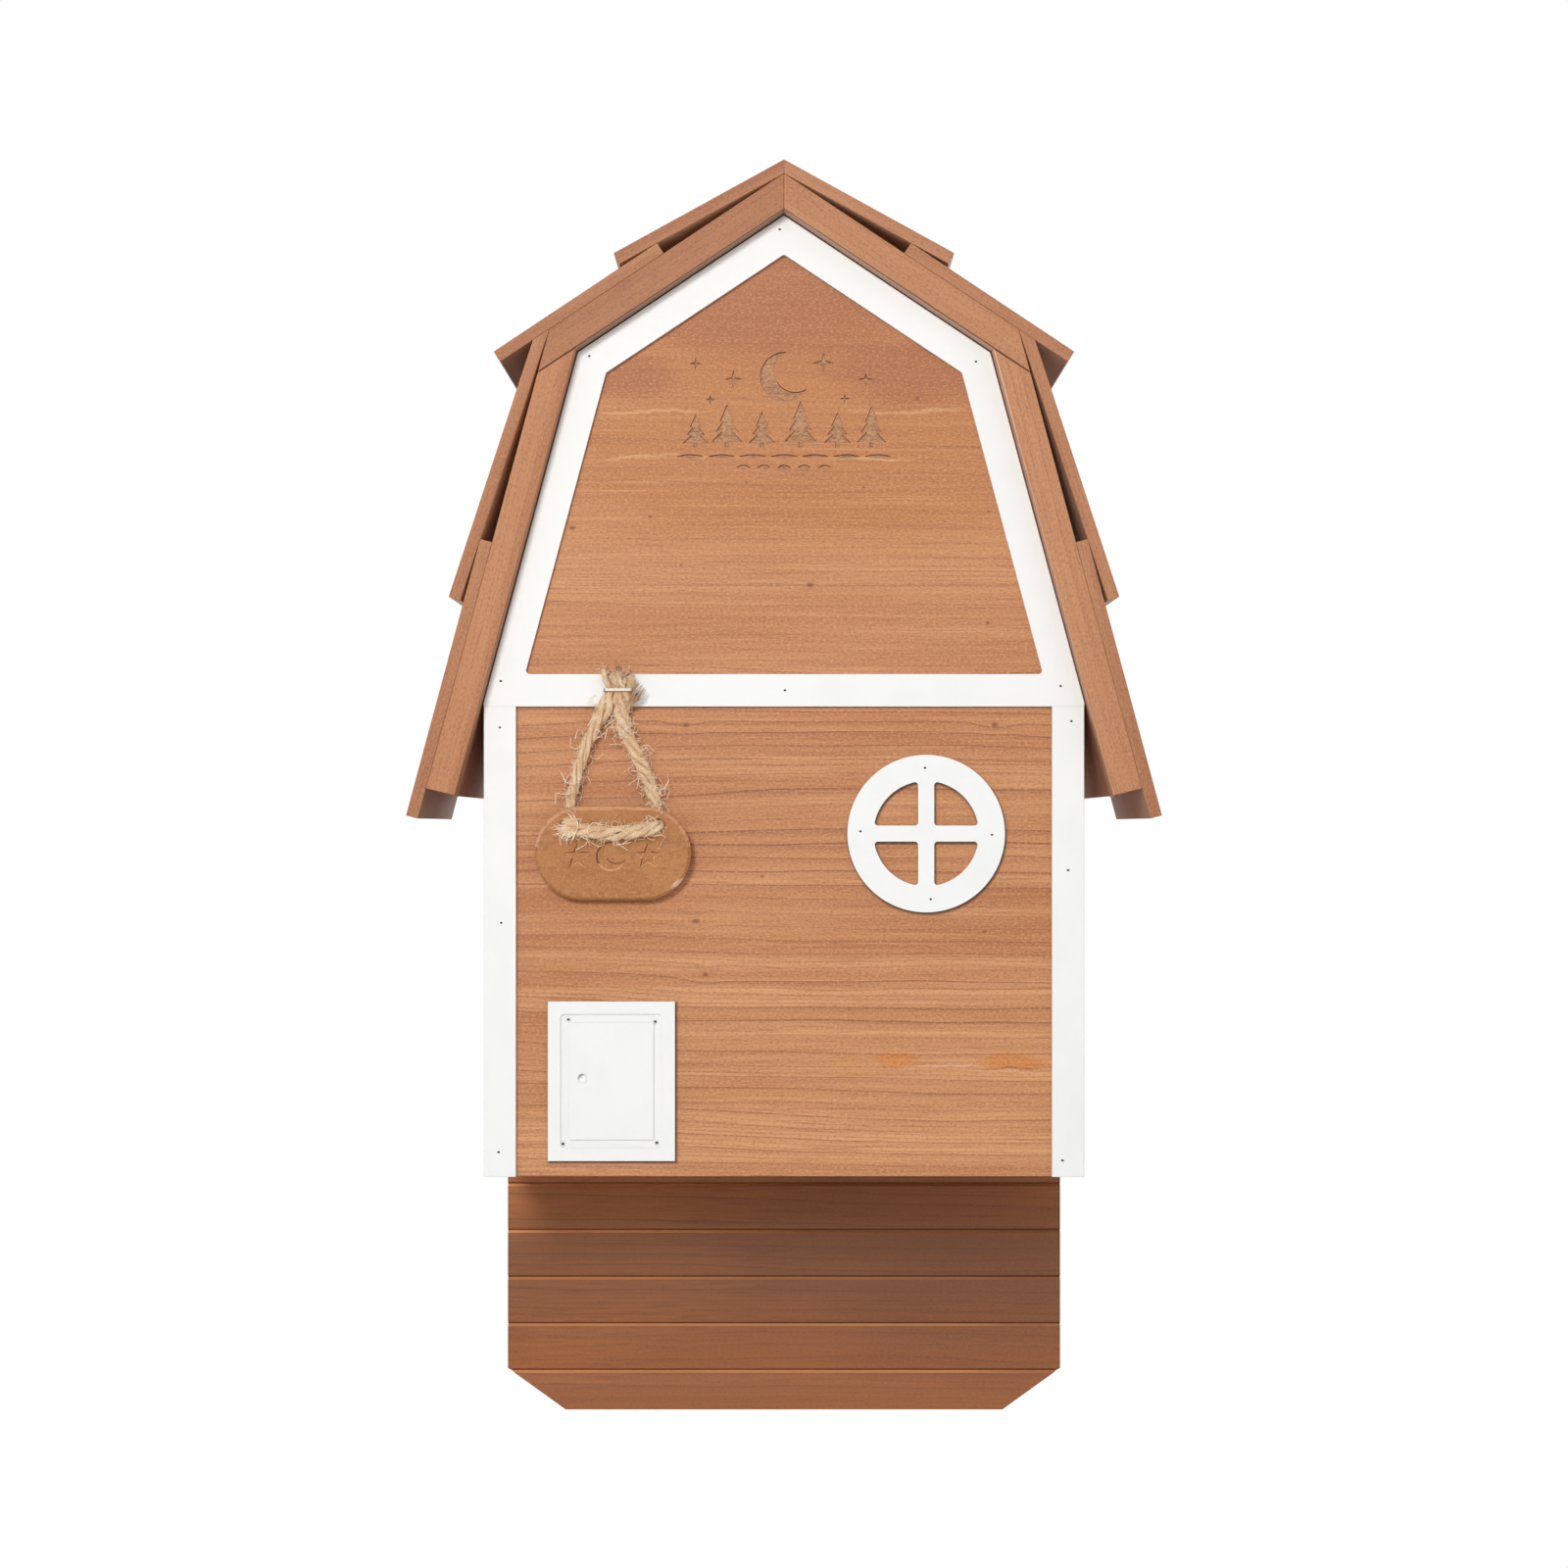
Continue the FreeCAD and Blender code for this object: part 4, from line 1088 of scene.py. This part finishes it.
# Floor, light and camera
# A plain pale floor well below the hanging box, soft studio light from the upper left, and the
# camera square to the front at the height of the window.
FLOOR_MIDDLE = Vector((0.0, 3.0, -0.42))
WHITE = (1.0, 1.0, 1.0, 1.0)
bpy.ops.mesh.primitive_plane_add(size=12.0, location=FLOOR_MIDDLE)
floor = bpy.context.object
floor.name = "floor"
floor_skin, place = blank("floor_paper")
far = place.vector("DISTANCE", place, (0.0, -FLOOR_MIDDLE.y, 0.0), out="Value")
paper = place.node("BsdfDiffuse", {"Color": tone(246, 246, 246)})
white = place.node("Emission", {"Color": WHITE, "Strength": 1.0})
seen = place.node("LightPath", out="Is Camera Ray")
seen = seen.maximum(place.node("LightPath", out="Is Glossy Ray"))
# Near the box the floor keeps some of its own shading, and further out it is plain white.
lift = seen * (far.smooth(0.15, 0.62) * 0.45 + 0.55)
surface = place.node("MixShader", {0: lift, 1: paper, 2: white})
place.node("OutputMaterial", {"Surface": surface})
floor.data.materials.append(floor_skin)

AMBIENT = 0.27
world = bpy.data.worlds.new("studio")
bpy.context.scene.world = world
world.use_nodes = True
world.node_tree.nodes.clear()
shade = Shade(world.node_tree)
seen = shade.node("LightPath", out="Is Camera Ray")
for ray in ("Is Glossy Ray", "Is Transmission Ray"):
    seen = seen.maximum(shade.node("LightPath", out=ray))
sky = shade.node("Background", {"Color": WHITE, "Strength": seen * (1.0 - AMBIENT) + AMBIENT})
shade.node("OutputWorld", {"Surface": sky})


def aim(thing, target):
    """Turns a lamp's face to a target."""
    direction = Vector(target) - thing.location
    thing.rotation_euler = direction.to_track_quat("-Z", "Y").to_euler()


# Each lamp's place, the length of its square's side and its power.
LAMPS = (("key", (-0.50, -2.3, 0.93), 0.5, 30.3), ("fill", (1.3, -1.9, 1.0), 1.6, 5.5),
         ("back", (0.6, 2.2, 0.9), 1.4, 16.0))
LIT_POINT = (0.0, -0.1, 0.2)
for name, spot, size, power in LAMPS:
    lamp = bpy.data.lights.new(name, "AREA")
    lamp.shape, lamp.size, lamp.energy = "SQUARE", size, power
    holder = placed(name, lamp)
    holder.location = spot
    aim(holder, LIT_POINT)

camera_data = bpy.data.cameras.new("camera")
camera_data.lens = 62.46
camera_data.sensor_width = 36.0
camera_data.shift_y = 0.028
camera = placed("camera", camera_data)
camera.location = (0.0, -1.613, 0.1893)
camera.rotation_euler = (math.radians(90), 0.0, 0.0)
bpy.context.scene.camera = camera
bpy.context.scene.view_settings.view_transform = "Standard"
